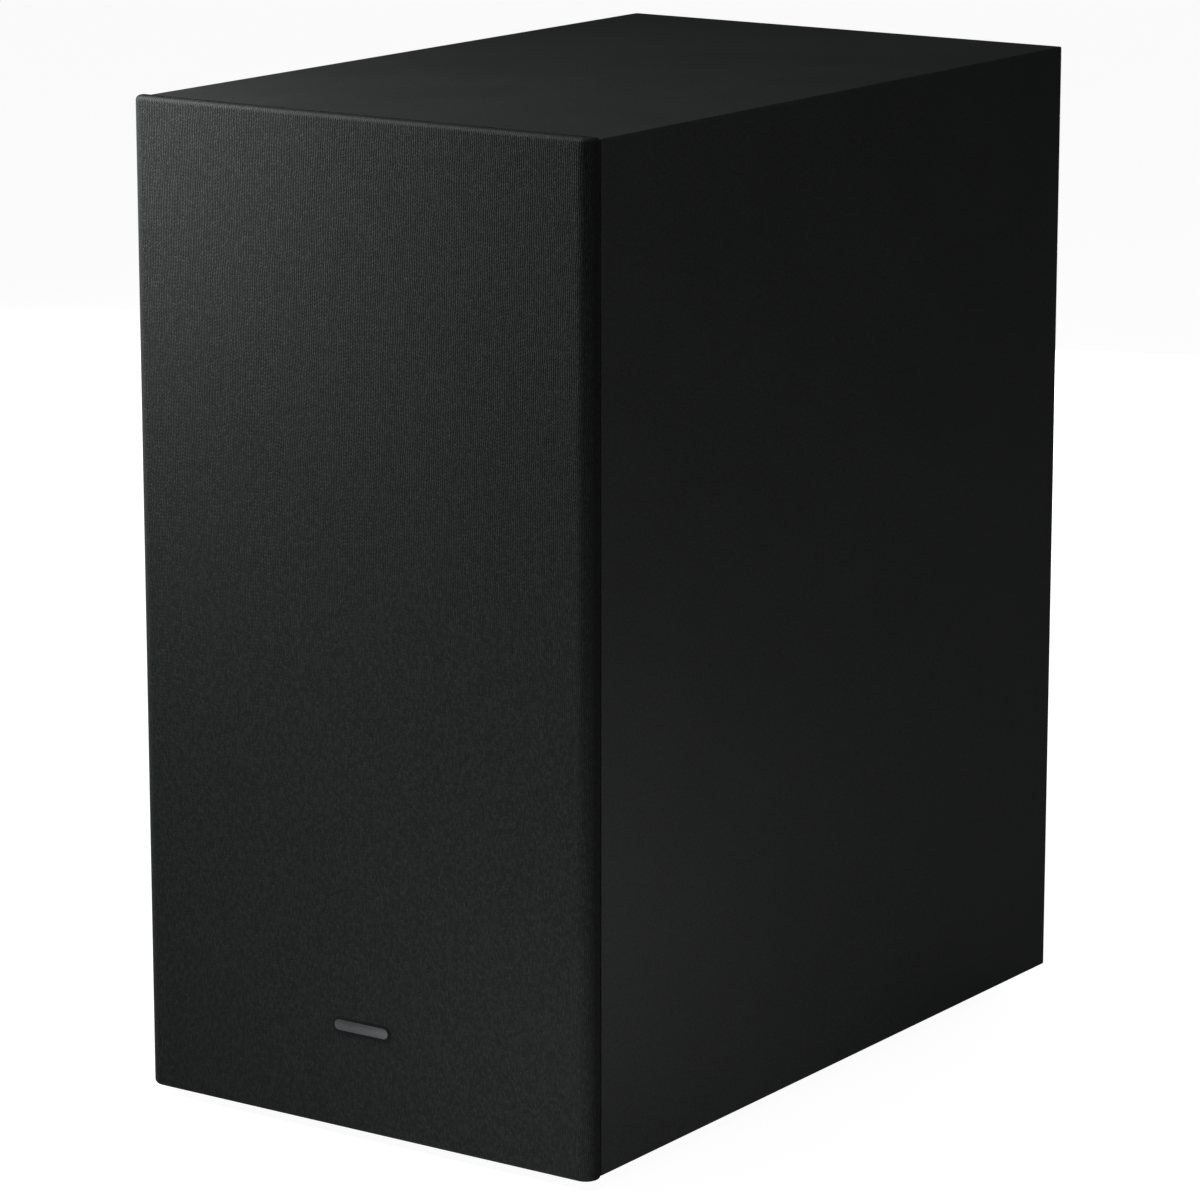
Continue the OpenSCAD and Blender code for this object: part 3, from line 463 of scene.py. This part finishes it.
def make_piece(name, bm, materials, body, replaces=None, outwards=True, crease=35.0):
    """Turn a finished bmesh into a named piece of the object."""
    if outwards:
        bmesh.ops.recalc_face_normals(bm, faces=bm.faces)
    mesh = bpy.data.meshes.new(name)
    bm.to_mesh(mesh)
    bm.free()
    mesh.shade_smooth()
    mesh.set_sharp_from_angle(angle=math.radians(crease))
    for material in materials:
        mesh.materials.append(material)
    piece = bpy.data.objects.new(name, mesh)
    bpy.context.scene.collection.objects.link(piece)
    if body:
        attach(piece, body)
    if replaces:
        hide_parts(replaces)
    return piece


def near(a, b, slack=0.00002):
    """True where two lengths agree within two hundredths of a millimetre."""
    return abs(a - b) < slack


# %% [markdown]
# ## Vinyl on the boards
# The cabinet is fibreboard wrapped in one sheet of printed vinyl, grooved at the corners and
# folded round. The skin is nearly flat black with a very fine pebble, a slow unevenness from
# the glue line, and edges that shine a little where hands and cartons have rubbed them.

# %% Make the vinyl finish
PANELS = ["top_panel", "bottom_panel", "left_panel", "right_panel"]
panel_boxes = [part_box(n) for n in PANELS]
cab_low = Vector([min(b[0][i] for b in panel_boxes) for i in range(3)])
cab_high = Vector([max(b[1][i] for b in panel_boxes) for i in range(3)])
vinyl = moulded(
    "wrapped_vinyl", (0.0195, 0.0202, 0.0202), 0.6, grain=1300.0, depth=0.00009, spread=0.5,
    specular=0.3, haze=0.015,
    rub={"box": (cab_low, cab_high), "width": 0.0016, "strength": 0.35, "colour": (0.042, 0.042, 0.042)})
print("cabinet", [round(v, 4) for v in cab_high - cab_low])

# %% [markdown]
# ## Four mitred boards
# Each board is a bar as long as the box is deep. Its outer long edges get the small radius
# of folded vinyl and its front and back edges a smaller one. A cut at 45 degrees through
# each corner leaves half of the fold on either board, so the four meet along clean mitres.

# %% Build the boards
FOLD_RADIUS = 0.6 * MM
RIM_RADIUS = 0.4 * MM
BOARD_WALL = 12.0 * MM
cab_centre = (cab_low + cab_high) / 2


def mitred_board(name, axis, side):
    """Build one board; axis is 0 for a side board or 2 for top and bottom, side is -1 or 1."""
    low, high = cab_low.copy(), cab_high.copy()
    if side > 0:
        low[axis] = high[axis] - BOARD_WALL
    else:
        high[axis] = low[axis] + BOARD_WALL
    outer = high[axis] if side > 0 else low[axis]
    other = 2 - axis
    bm = box_bmesh(low, high)
    folds = edges_at(bm, lambda p: near(p[axis], outer) and near(abs(p[other] - cab_centre[other]),
                                                               (high - low)[other] / 2))
    folds = [e for e in folds if abs(e.verts[0].co.y - e.verts[1].co.y) > 0.1]
    round_edges(bm, folds, FOLD_RADIUS, 6)
    for y in (low.y, high.y):
        rims = edges_at(bm, lambda p: near(p.y, y) and abs(p[axis] - outer) < FOLD_RADIUS * 1.01)
        round_edges(bm, rims, RIM_RADIUS, 3)
    for end in (-1, 1):
        corner = Vector((0.0, cab_centre.y, 0.0))
        corner[axis] = outer
        corner[other] = high[other] if end > 0 else low[other]
        normal = Vector((0.0, 0.0, 0.0))
        normal[axis] = -side
        normal[other] = end
        cut = bmesh.ops.bisect_plane(bm, geom=bm.verts[:] + bm.edges[:] + bm.faces[:], dist=1e-7,
                                     plane_co=corner, plane_no=normal, clear_outer=True)
        rim = [g for g in cut["geom_cut"] if isinstance(g, bmesh.types.BMEdge)]
        bmesh.ops.contextual_create(bm, geom=rim)
    return make_piece(name + "_wrapped", bm, [vinyl], "cabinet", name)


boards = [
    mitred_board("top_panel", 2, 1),
    mitred_board("bottom_panel", 2, -1),
    mitred_board("right_panel", 0, 1),
    mitred_board("left_panel", 0, -1),
]
print("boards:", [len(b.data.polygons) for b in boards])

# %% [markdown]
# ## The weave of the grille cloth
# Speaker cloth has to be open to sound, so it is a loose, ribbed polyester weave. Upright
# ribs carry the eye; each wanders a little, is broken into short dashes where cross threads
# pass over, and a few threads catch more light. The group turns the flat cloth's own
# coordinates, in metres, into a height and a tone for every dash.

# %% Build the weave group
weave_group, w_in, w_out = new_group(
    "thread_weave", {"Vector": (0.0, 0.0, 0.0), "Rib pitch": 0.7 * MM, "Dash length": 1.2 * MM},
    ["Height", "Tone", "Speck"])
flat = add_node(weave_group, "ShaderNodeSeparateXYZ", {0: w_in["Vector"]}).outputs
wander = add_node(weave_group, "ShaderNodeTexNoise", {
    "Vector": w_in["Vector"], "Scale": 110.0, "Detail": 2.0})
straight = math_node(weave_group, "DIVIDE", flat[0], w_in["Rib pitch"])
drift = math_node(weave_group, "MULTIPLY", wander.outputs["Fac"], 2.2)
across = math_node(weave_group, "ADD", straight, drift)
rib = math_node(weave_group, "FLOOR", across)
shift = add_node(weave_group, "ShaderNodeTexWhiteNoise", {"W": rib}, noise_dimensions="1D")
dashes = math_node(weave_group, "DIVIDE", flat[1], w_in["Dash length"])
along = math_node(weave_group, "ADD", dashes, shift.outputs["Value"])
dash = math_node(weave_group, "FLOOR", along)
cell = add_node(weave_group, "ShaderNodeCombineXYZ", {0: rib, 1: dash}).outputs[0]
dice = add_node(weave_group, "ShaderNodeTexWhiteNoise", {"Vector": cell}, noise_dimensions="2D")
chance = dice.outputs["Value"]


def rounded(tree, value, power):
    """1 in the middle of each cell, falling to 0 at both its ends."""
    centred = math_node(tree, "MULTIPLY_ADD", math_node(tree, "FRACT", value), 2.0)
    centred.node.inputs[2].default_value = -1.0
    fall = math_node(tree, "POWER", math_node(tree, "ABSOLUTE", centred), power)
    return math_node(tree, "SUBTRACT", 1.0, fall)


rib_height = rounded(weave_group, across, 2.0)
dash_height = rounded(weave_group, along, 4.0)
dipped = to_range(weave_group, dash_height, 0.0, 1.0, 0.45, 1.0)
body_height = math_node(weave_group, "MULTIPLY", rib_height, dipped)
uneven = to_range(weave_group, chance, 0.0, 1.0, 0.75, 1.1)
height = math_node(weave_group, "MULTIPLY", body_height, uneven)
weave_group.links.new(height, w_out["Height"])
tone = math_node(weave_group, "MULTIPLY", to_range(weave_group, body_height, 0.0, 1.0, 0.45, 1.0),
                 to_range(weave_group, chance, 0.0, 1.0, 0.68, 1.32))
weave_group.links.new(tone, w_out["Tone"])
weave_group.links.new(to_range(weave_group, chance, 0.9, 1.0, 0.0, 1.0), w_out["Speck"])

# %% [markdown]
# Where the cloth turns round the frame it is pulled tight. The top and bottom hems get a
# painted highlight, a lighter colour near their edges, and farther round the cloth gets
# painted shade, a colour that darkens towards the seam.

# %% Make the cloth finish
CLOTH_UV = "flat_cloth"
cloth_finish, tree, shader, place = start_material("ribbed_speaker_cloth", uv=CLOTH_UV)
weave = add_node(tree, "ShaderNodeGroup", node_tree=weave_group)
tree.links.new(place, weave.inputs["Vector"])
handled = add_node(tree, "ShaderNodeGroup", node_tree=grain_group)
tree.links.new(place, handled.inputs["Vector"])
handled.inputs["Blotch per metre"].default_value = 14.0
thread = add_node(tree, "ShaderNodeMix", {
    "Factor": weave.outputs["Tone"],
    "A": colour((0.006, 0.006, 0.006)), "B": colour((0.0405, 0.042, 0.0415))},
    data_type="RGBA", clamp_factor=False)
aged = add_node(tree, "ShaderNodeMix", {
    "Factor": to_range(tree, handled.outputs["Blotch"], 0.3, 0.7, 0.0, 0.12),
    "A": thread.outputs["Result"], "B": colour((0.05, 0.05, 0.048))}, data_type="RGBA")
specked = add_node(tree, "ShaderNodeMix", {
    "Factor": math_node(tree, "MULTIPLY", weave.outputs["Speck"], 0.12),
    "A": aged.outputs["Result"], "B": colour((0.10, 0.10, 0.10))}, data_type="RGBA")
on_object = add_node(tree, "ShaderNodeTexCoord").outputs["Object"]
# Painted highlight: the cloth is painted lighter near its top and bottom hems.
hem = add_node(tree, "ShaderNodeGroup", node_tree=edge_wear_and_highlight_group)
tree.links.new(on_object, hem.inputs["Vector"])
cloth_low, cloth_high = (Vector(p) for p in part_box("grille_cloth"))
hem.inputs["Centre"].default_value = (cloth_low + cloth_high) / 2
hem.inputs["Half size"].default_value = (cloth_high - cloth_low) / 2
hem.inputs["Width"].default_value = 1.5 * MM
hem.inputs["Patchiness"].default_value = 0.3
painted_hem_highlight = add_node(tree, "ShaderNodeMix", {
    "Factor": math_node(tree, "MULTIPLY", hem.outputs["Mask"], 0.75),
    "A": specked.outputs["Result"], "B": colour((0.105, 0.11, 0.11))}, data_type="RGBA")
# Painted shade: the cloth is painted darker, towards near black, from just behind its front round to the
# seam.
place_y = add_node(tree, "ShaderNodeSeparateXYZ", {0: on_object}).outputs["Y"]
TURN_STARTS = cloth_low.y + 0.15 * MM
TURN_ENDS = cloth_low.y + 3.6 * MM
painted_seam_shade = add_node(tree, "ShaderNodeMix", {
    "Factor": to_range(tree, place_y, TURN_STARTS, TURN_ENDS, 0.0, 0.8),
    "A": painted_hem_highlight.outputs["Result"], "B": colour((0.002, 0.002, 0.002))}, data_type="RGBA")
bump = add_node(tree, "ShaderNodeBump", {
    "Height": weave.outputs["Height"], "Distance": 0.3 * MM, "Strength": 0.8})
cloth_rough = to_range(tree, weave.outputs["Height"], 0.0, 1.0, 0.98, 0.8)
tree.links.new(painted_seam_shade.outputs["Result"], shader.inputs["Base Color"])
tree.links.new(cloth_rough, shader.inputs["Roughness"])
tree.links.new(bump.outputs["Normal"], shader.inputs["Normal"])
shader.inputs["Specular IOR Level"].default_value = 0.25

# %% [markdown]
# ## The stretched cloth
# The cloth is one rectangle pulled over the front of a plastic frame and glued behind it, so
# it is taut and flat in front, rolls round the frame's edges and ends in a narrow return at
# the back. A box with its upright edges rounded widely, its top and bottom edges finely and
# its back opened has exactly that form. A Solidify modifier gives the sheet its thickness.

# %% Build the cloth
CLOTH_THICKNESS = 0.5 * MM
UPRIGHT_RADIUS = 5.2 * MM
HEM_RADIUS = 1.6 * MM
RETURN_WIDTH = 12.0 * MM
bm = box_bmesh(cloth_low, cloth_high)
back = max(bm.faces, key=lambda f: f.calc_center_median().y)
bmesh.ops.inset_region(bm, faces=[back], thickness=RETURN_WIDTH, use_even_offset=True)
bmesh.ops.delete(bm, geom=[back], context="FACES")
uprights = [e for e in edges_at(bm, lambda p: near(p.y, cloth_low.y))
            if abs(e.verts[0].co.z - e.verts[1].co.z) > 0.1]
round_edges(bm, uprights, UPRIGHT_RADIUS, 14)
hems = [e for z in (cloth_low.z, cloth_high.z) for e in edges_at(bm, lambda p: near(p.z, z))]
rear_sides = [e for side in (cloth_low.x, cloth_high.x)
              for e in edges_at(bm, lambda p: near(p.y, cloth_high.y) and near(p.x, side))]
round_edges(bm, list(set(hems + rear_sides)), HEM_RADIUS, 6)
bmesh.ops.recalc_face_normals(bm, faces=bm.faces)
front = max(bm.faces, key=lambda f: f.calc_area())
if front.normal.y > 0:
    bmesh.ops.reverse_faces(bm, faces=bm.faces)
print("cloth faces:", len(bm.faces))

# %% [markdown]
# The weave must run straight up the front and turn with the cloth at the sides, so each
# corner of each face gets its place on the flat rectangle: distance along the surface from
# the middle, in metres.

# %% Lay the flat coordinates on the cloth
half_width = (cloth_high.x - cloth_low.x) / 2
quarter_turn = math.pi / 2 * UPRIGHT_RADIUS


def flat_across(p):
    """Distance along the cloth from its middle to a point on the front or side."""
    side = math.copysign(1.0, p.x)
    beyond = abs(p.x) - (half_width - UPRIGHT_RADIUS)
    depth = p.y - cloth_low.y
    if beyond <= 0:
        return p.x
    if depth < UPRIGHT_RADIUS:
        angle = math.atan2(beyond, max(UPRIGHT_RADIUS - depth, 1e-9))
        return side * (half_width - UPRIGHT_RADIUS + angle * UPRIGHT_RADIUS)
    return side * (half_width - UPRIGHT_RADIUS + quarter_turn + depth - UPRIGHT_RADIUS)


uv_layer = bm.loops.layers.uv.new(CLOTH_UV)
for face in bm.faces:
    over_edge = abs(face.normal.z) > 0.75
    behind = face.normal.y > 0.75
    for loop in face.loops:
        p = loop.vert.co
        if over_edge:
            loop[uv_layer].uv = (p.x, p.z + math.copysign(p.y - cloth_low.y, face.normal.z))
        elif behind:
            loop[uv_layer].uv = (p.x, p.z)
        else:
            loop[uv_layer].uv = (flat_across(p), p.z)
cloth = make_piece("grille_cloth_stretched", bm, [cloth_finish], "grille", "grille_cloth",
                   outwards=False, crease=50.0)
solid = cloth.modifiers.new("thickness", "SOLIDIFY")
solid.thickness = CLOTH_THICKNESS
solid.offset = -1.0

# %% [markdown]
# ## The badge
# A small plain lozenge sits low on the cloth: a satin bar in a black border, with no
# lettering. An inset gives the border and a short extrusion lifts the bar.

# %% Build the badge
badge_low, badge_high = (Vector(p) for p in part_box("badge"))
BORDER_WIDTH = 0.75 * MM
BAR_LIFT = 0.2 * MM
border_black = moulded("badge_border_black", (0.006, 0.006, 0.006), 0.4, grain=2500.0, depth=0.00001)
bar_metal = moulded("badge_bar_satin", (0.34, 0.35, 0.355), 0.42, metallic=1.0, grain=3000.0,
                    brushed=(150.0, 6000.0, 6000.0), depth=0.00001)
bm = box_bmesh(badge_low + Vector((0.0, BAR_LIFT, 0.0)), badge_high)
corners = [e for e in bm.edges if abs(e.verts[0].co.y - e.verts[1].co.y) > BAR_LIFT]
round_edges(bm, corners, (badge_high.z - badge_low.z) / 2 - 0.05 * MM, 10)
face = min(bm.faces, key=lambda f: f.calc_center_median().y)
bmesh.ops.inset_region(bm, faces=[face], thickness=BORDER_WIDTH, use_even_offset=True)
face = min(bm.faces, key=lambda f: (round(f.calc_center_median().y, 6), -f.calc_area()))
lifted = bmesh.ops.extrude_discrete_faces(bm, faces=[face])["faces"][0]
bmesh.ops.translate(bm, verts=lifted.verts, vec=(0.0, -BAR_LIFT, 0.0))
bar_line = badge_low.y + BAR_LIFT * 0.9
round_edges(bm, list(lifted.edges), 0.07 * MM, 2)
for face in bm.faces:
    face.material_index = 1 if face.calc_center_median().y < bar_line else 0
badge = make_piece("badge_lozenge", bm, [border_black, bar_metal], "grille", "badge")
print("badge", [round(v, 5) for v in badge.dimensions])

# %% [markdown]
# ## Rounded edges on moulded and turned pieces
# No real edge is perfectly sharp: a mould, a press tool or a coat of paint leaves a small
# radius, and that radius is what catches the light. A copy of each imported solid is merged,
# its flat faces are joined up, and a Bevel modifier rounds whatever is still a sharp edge.
# A Weighted Normal modifier then lets the largest faces decide the shading, so a wide board
# with holes in it looks flat right up to each hole.

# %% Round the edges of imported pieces
def softened(node, radius, segments=2, angle=32.0):
    """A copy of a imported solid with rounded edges, in the finish of its slot."""
    bm = bmesh.new()
    bm.from_mesh(nodes[node].data)
    bmesh.ops.remove_doubles(bm, verts=bm.verts, dist=0.001 * MM)
    bmesh.ops.dissolve_limit(bm, angle_limit=math.radians(0.4), use_dissolve_boundaries=False,
                             verts=bm.verts, edges=bm.edges, delimit=set())
    body = body_of(nodes[node])[0]
    slot = slot_of[node]
    piece = make_piece(node + "_rounded", bm, [slot_finish[slot]], body, node, crease=angle)
    bevel = piece.modifiers.new("edge_radius", "BEVEL")
    bevel.width = radius
    bevel.segments = segments
    bevel.limit_method = "ANGLE"
    bevel.angle_limit = math.radians(angle)
    bevel.use_clamp_overlap = True
    flatten = piece.modifiers.new("flat_faces_stay_flat", "WEIGHTED_NORMAL")
    flatten.mode = "FACE_AREA"
    flatten.weight = 100
    flatten.keep_sharp = True
    return piece


EDGE_RADII = {
    "rubber_feet": 0.7, "amp_plate": 0.5, "ac_inlet": 0.3, "id_button": 0.4, "front_baffle": 0.4,
    "rear_panel": 0.4, "grille_frame": 0.4, "cross_brace": 0.5, "glue_blocks": 0.4,
    "transformer": 0.6, "heat_sink": 0.15, "wireless_module": 0.2, "magnet": 0.8, "top_plate": 0.3,
    "yoke": 0.4, "port_outer_flare": 0.4, "woofer_rim": 0.3, "woofer_cage": 0.25,
    "woofer_trim_ring": 0.5, "grille_cups": 0.3, "board_connector": 0.25, "lead_boots": 0.2,
    "lead_clip": 0.2, "main_board": 0.15, "switch_body": 0.2,
}
rounded_pieces = {n: softened(n, r * MM) for n, r in EDGE_RADII.items()}
print("rounded pieces:", len(rounded_pieces))

# %% [markdown]
# ## A blank rating label
# The amplifier plate has a shallow field for its rating label. The label here is a plain
# satin foil with rounded corners and a printed frame line, and carries no lettering. It is
# an inset box: the inset ring is the frame line, in its own darker finish.

# %% Build the label
LABEL_SIZE = Vector((62.0, 0.15, 28.0)) * MM
LABEL_CENTRE_Z = 102.0 * MM
LABEL_SINK = 0.2 * MM
plate_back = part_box("amp_plate")[1][1]
foil = moulded("label_foil", (0.16, 0.165, 0.17), 0.42, grain=3500.0, depth=0.000005,
               metallic=0.6, spread=0.12)
frame_ink = moulded("label_frame_ink", (0.02, 0.02, 0.02), 0.5, grain=3500.0, depth=0.000005)
label_middle = Vector((0.0, plate_back - LABEL_SINK - LABEL_SIZE.y / 2, LABEL_CENTRE_Z))
bm = box_bmesh(label_middle - LABEL_SIZE / 2, label_middle + LABEL_SIZE / 2)
corners = [e for e in bm.edges if abs(e.verts[0].co.y - e.verts[1].co.y) > LABEL_SIZE.y / 2]
round_edges(bm, corners, 2.0 * MM, 5)
face = max(bm.faces, key=lambda f: f.calc_center_median().y)
bmesh.ops.inset_region(bm, faces=[face], thickness=1.2 * MM, use_even_offset=True)
ring = bmesh.ops.inset_region(bm, faces=[face], thickness=0.35 * MM, use_even_offset=True)["faces"]
for ring_face in ring:
    ring_face.material_index = 1
label = make_piece("rating_label_blank", bm, [foil, frame_ink], "cabinet")
print("label", [round(v * 1000, 2) for v in label.dimensions])

# %% [markdown]
# ## The surround and the spider
# Two soft rings carry the cone: a half roll of rubber at its rim and a corrugated disc of
# resin-stiffened cloth round its coil. Both must stretch when the cone moves, so each ring is
# made of wedges, and each wedge bends from the basket to the cone along its own spoke.
# A profile swept round the axis gives the ring; bmesh's solidify gives the wall.

# %% Sweep rings that bend
woofer_axis = Vector((0.0, 0.0, WOOFER_HEIGHT))
Y_AXIS = (0.0, 1.0, 0.0)


def ring_in_wedges(name, node, draw_profile, wedges, steps, wall):
    """Sweep a profile round the woofer's axis and blend each wedge between basket and cone."""
    made = []
    for i in range(wedges):
        bm = bmesh.new()
        inner_radius, outer_radius = draw_profile(bm)
        turn = Matrix.Rotation(math.tau * i / wedges, 3, "Y")
        bmesh.ops.rotate(bm, verts=bm.verts, cent=woofer_axis, matrix=turn)
        bmesh.ops.spin(bm, geom=bm.verts[:] + bm.edges[:], cent=woofer_axis, axis=Y_AXIS,
                       angle=math.tau / wedges, steps=steps)
        bmesh.ops.recalc_face_normals(bm, faces=bm.faces)
        if sum(f.normal.y * f.calc_area() for f in bm.faces) > 0:
            bmesh.ops.reverse_faces(bm, faces=bm.faces)
        bmesh.ops.solidify(bm, geom=bm.faces[:], thickness=wall)
        spoke = sum((v.co for v in bm.verts), Vector()) / len(bm.verts) - woofer_axis
        spoke.y = 0.0
        spoke.normalize()
        slot = slot_of[node]
        piece = make_piece(f"{name}_{i + 1:02d}", bm, [slot_finish[slot]], None, node)
        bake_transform(piece, "cabinet", "cone_assembly", start=woofer_axis + spoke * outer_radius,
                 end=woofer_axis + spoke * inner_radius)
        made.append(piece)
    return made


def wire(bm, points):
    """Join points into one line of edges and return its last vertex."""
    verts = [bm.verts.new(p) for p in points]
    for a, b in zip(verts, verts[1:]):
        bm.edges.new((a, b))
    return verts[-1]


# %% Build the surround
SURROUND_WALL = 0.8 * MM
surround_low, surround_high = (Vector(p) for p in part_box("surround"))
LIP_FRONT = surround_high.y - SURROUND_WALL
ROLL_HEIGHT = LIP_FRONT - surround_low.y
ROLL_CENTRE = 59.1 * MM
LIP_INNER_RADIUS = 53.3 * MM
# The bend starts and ends a little inside the two glued lips
CONE_GLUE_WIDTH = 1.2 * MM
BASKET_GLUE_WIDTH = 3.0 * MM


def surround_profile(bm):
    """Outer lip, half roll and inner lip, drawn from the basket to the cone."""
    outer, inner = surround_high.x, LIP_INNER_RADIUS
    z = woofer_axis.z
    roll_foot = wire(bm, [(outer, LIP_FRONT, z), (ROLL_CENTRE + ROLL_HEIGHT, LIP_FRONT, z)])
    rolled = bmesh.ops.spin(bm, geom=[roll_foot], cent=(ROLL_CENTRE, LIP_FRONT, z), axis=(0.0, 0.0, 1.0),
                            angle=-math.pi, steps=18)["geom_last"]
    end = [g for g in rolled if isinstance(g, bmesh.types.BMVert)][0]
    lip = bm.verts.new((inner, LIP_FRONT, z))
    bm.edges.new((end, lip))
    return inner + CONE_GLUE_WIDTH, outer - BASKET_GLUE_WIDTH


surround = ring_in_wedges("surround_wedge", "surround", surround_profile, 24, 5, SURROUND_WALL)
crest = min(v.co.y for v in surround[0].data.vertices)
print("surround wedges:", len(surround), "crest at", round(crest, 4))

# %% [markdown]
# The spider is pressed from cloth in a row of even waves, so it lets the coil slide along
# its axis and holds it centred. A sine between two flat rims has that form.

# %% Build the spider
SPIDER_WALL = 0.4 * MM
spider_low, spider_high = (Vector(p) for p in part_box("spider"))
SPIDER_MIDDLE = (spider_low.y + spider_high.y) / 2
WAVE_COUNT = 7
POINTS_PER_WAVE = 6
COIL_RADIUS = 15.7 * MM
RIM_WIDTH = 4.0 * MM
NECK_WIDTH = 2.0 * MM


def spider_profile(bm):
    """A row of soft waves between two flat rims."""
    inner, outer = COIL_RADIUS, spider_high.x
    z = woofer_axis.z
    depth = (spider_high.y - spider_low.y) / 2 - SPIDER_WALL
    line = [(outer, SPIDER_MIDDLE, z)]
    count = WAVE_COUNT * POINTS_PER_WAVE
    for i in range(count + 1):
        r = outer - RIM_WIDTH - (outer - RIM_WIDTH - inner - NECK_WIDTH) * i / count
        line.append((r, SPIDER_MIDDLE - depth * math.sin(math.tau * WAVE_COUNT * i / count), z))
    line.append((inner, SPIDER_MIDDLE, z))
    wire(bm, line)
    return inner + NECK_WIDTH, outer - RIM_WIDTH


spider = ring_in_wedges("spider_wedge", "spider", spider_profile, 16, 4, SPIDER_WALL)
print("spider wedges:", len(spider))

# %% [markdown]
# ## Wadding on the side walls
# Two pads of needled polyester soak up standing waves inside the box. They are soft, so
# each starts as a thin slab with round edges, is divided into even cells, and swells under
# a little pressure in a short cloth simulation. How far any point may move is capped, so a
# pad stays in the space that was left for it.

# %% Make the wadding finish
wadding_finish, tree, shader, place = start_material("needled_polyester")
clumps = add_node(tree, "ShaderNodeTexNoise", {
    "Vector": place, "Scale": 60.0, "Detail": 6.0, "Roughness": 0.7})
fibres = add_node(tree, "ShaderNodeTexNoise", {
    "Vector": place, "Scale": 900.0, "Detail": 5.0, "Distortion": 2.0})
tinted = add_node(tree, "ShaderNodeMix", {
    "Factor": clumps.outputs["Fac"], "A": colour((0.52, 0.52, 0.49)), "B": colour((0.82, 0.82, 0.79))},
    data_type="RGBA")
fine_relief = math_node(tree, "MULTIPLY", fibres.outputs["Fac"], 0.5)
relief = math_node(tree, "ADD", clumps.outputs["Fac"], fine_relief)
bump = add_node(tree, "ShaderNodeBump", {"Height": relief, "Distance": 0.0012, "Strength": 0.9})
tree.links.new(tinted.outputs["Result"], shader.inputs["Base Color"])
tree.links.new(to_range(tree, fibres.outputs["Fac"], 0.3, 0.7, 0.85, 1.0), shader.inputs["Roughness"])
tree.links.new(bump.outputs["Normal"], shader.inputs["Normal"])

# %% Swell the pads
START_INSET = Vector((1.3, 5.0, 5.0)) * MM
CELL = 3.4 * MM
SWELL_CAP = 1.1 * MM
SWELL_FRAMES = 14
SWELL_PRESSURE = 4.0
LUMP_DEPTH = 0.4 * MM


def baked_mesh(piece):
    """The piece's mesh with its modifiers applied."""
    graph = bpy.context.evaluated_depsgraph_get()
    return bpy.data.meshes.new_from_object(piece.evaluated_get(graph))


def wadding_pad(node, name):
    """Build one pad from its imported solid's box."""
    low, high = (Vector(p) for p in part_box(node))
    bm = box_bmesh(low + START_INSET, high - START_INSET)
    round_edges(bm, bm.edges[:], 2.0 * MM, 3)
    pad = make_piece(name, bm, [wadding_finish], "cabinet", node)
    cells = pad.modifiers.new("even_cells", "REMESH")
    cells.mode = "VOXEL"
    cells.voxel_size = CELL
    even = baked_mesh(pad)
    pad.modifiers.clear()
    pad.data = even
    puff = pad.modifiers.new("puff", "CLOTH")
    puff.settings.use_pressure = True
    puff.settings.uniform_pressure_force = SWELL_PRESSURE
    puff.settings.effector_weights.gravity = 0.0
    puff.point_cache.frame_end = SWELL_FRAMES
    for frame_number in range(1, SWELL_FRAMES + 1):
        bpy.context.scene.frame_set(frame_number)
    swollen = baked_mesh(pad)
    for vert, moved in zip(pad.data.vertices, swollen.vertices):
        step = moved.co - vert.co
        vert.co += step * min(1.0, SWELL_CAP / max(step.length, 1e-9))
    pad.modifiers.clear()
    bpy.context.scene.frame_set(1)
    for vert in pad.data.vertices:
        lump = noise.noise(vert.co * 38.0) * 0.7 + noise.noise(vert.co * 110.0) * 0.3
        vert.co.x += math.copysign(lump * LUMP_DEPTH, vert.co.x - (low.x + high.x) / 2) * 0.9
    if len(pad.data.materials) == 0:
        pad.data.materials.append(wadding_finish)
    pad.data.shade_smooth()
    return pad


pads = [wadding_pad("left_wadding", "left_wadding_pad"), wadding_pad("right_wadding", "right_wadding_pad")]
print("pads:", [[round(v * 1000, 1) for v in p.dimensions] for p in pads])

# %% [markdown]
# ## The floor
# A wide pale disc stands for a studio floor. It glows only for the camera, so it looks white
# and yet sends little light up into the black box.

# %% Lay the floor
bm = bmesh.new()
bmesh.ops.create_circle(bm, cap_ends=True, radius=14.0, segments=96)
floor = bpy.data.objects.new("floor", bpy.data.meshes.new("floor"))
bm.to_mesh(floor.data)
bm.free()
bpy.context.scene.collection.objects.link(floor)
material, tree, shader, place = start_material("pale_floor")
shader.inputs["Base Color"].default_value = (0.3, 0.3, 0.3, 1.0)
shader.inputs["Roughness"].default_value = 0.9
shader.inputs["Specular IOR Level"].default_value = 0.1
FLOOR_GLOW = 0.95
lit = add_node(tree, "ShaderNodeLightPath").outputs["Is Camera Ray"]
shader.inputs["Emission Color"].default_value = (1.0, 1.0, 1.0, 1.0)
tree.links.new(math_node(tree, "MULTIPLY", lit, FLOOR_GLOW), shader.inputs["Emission Strength"])
floor.data.materials.append(material)
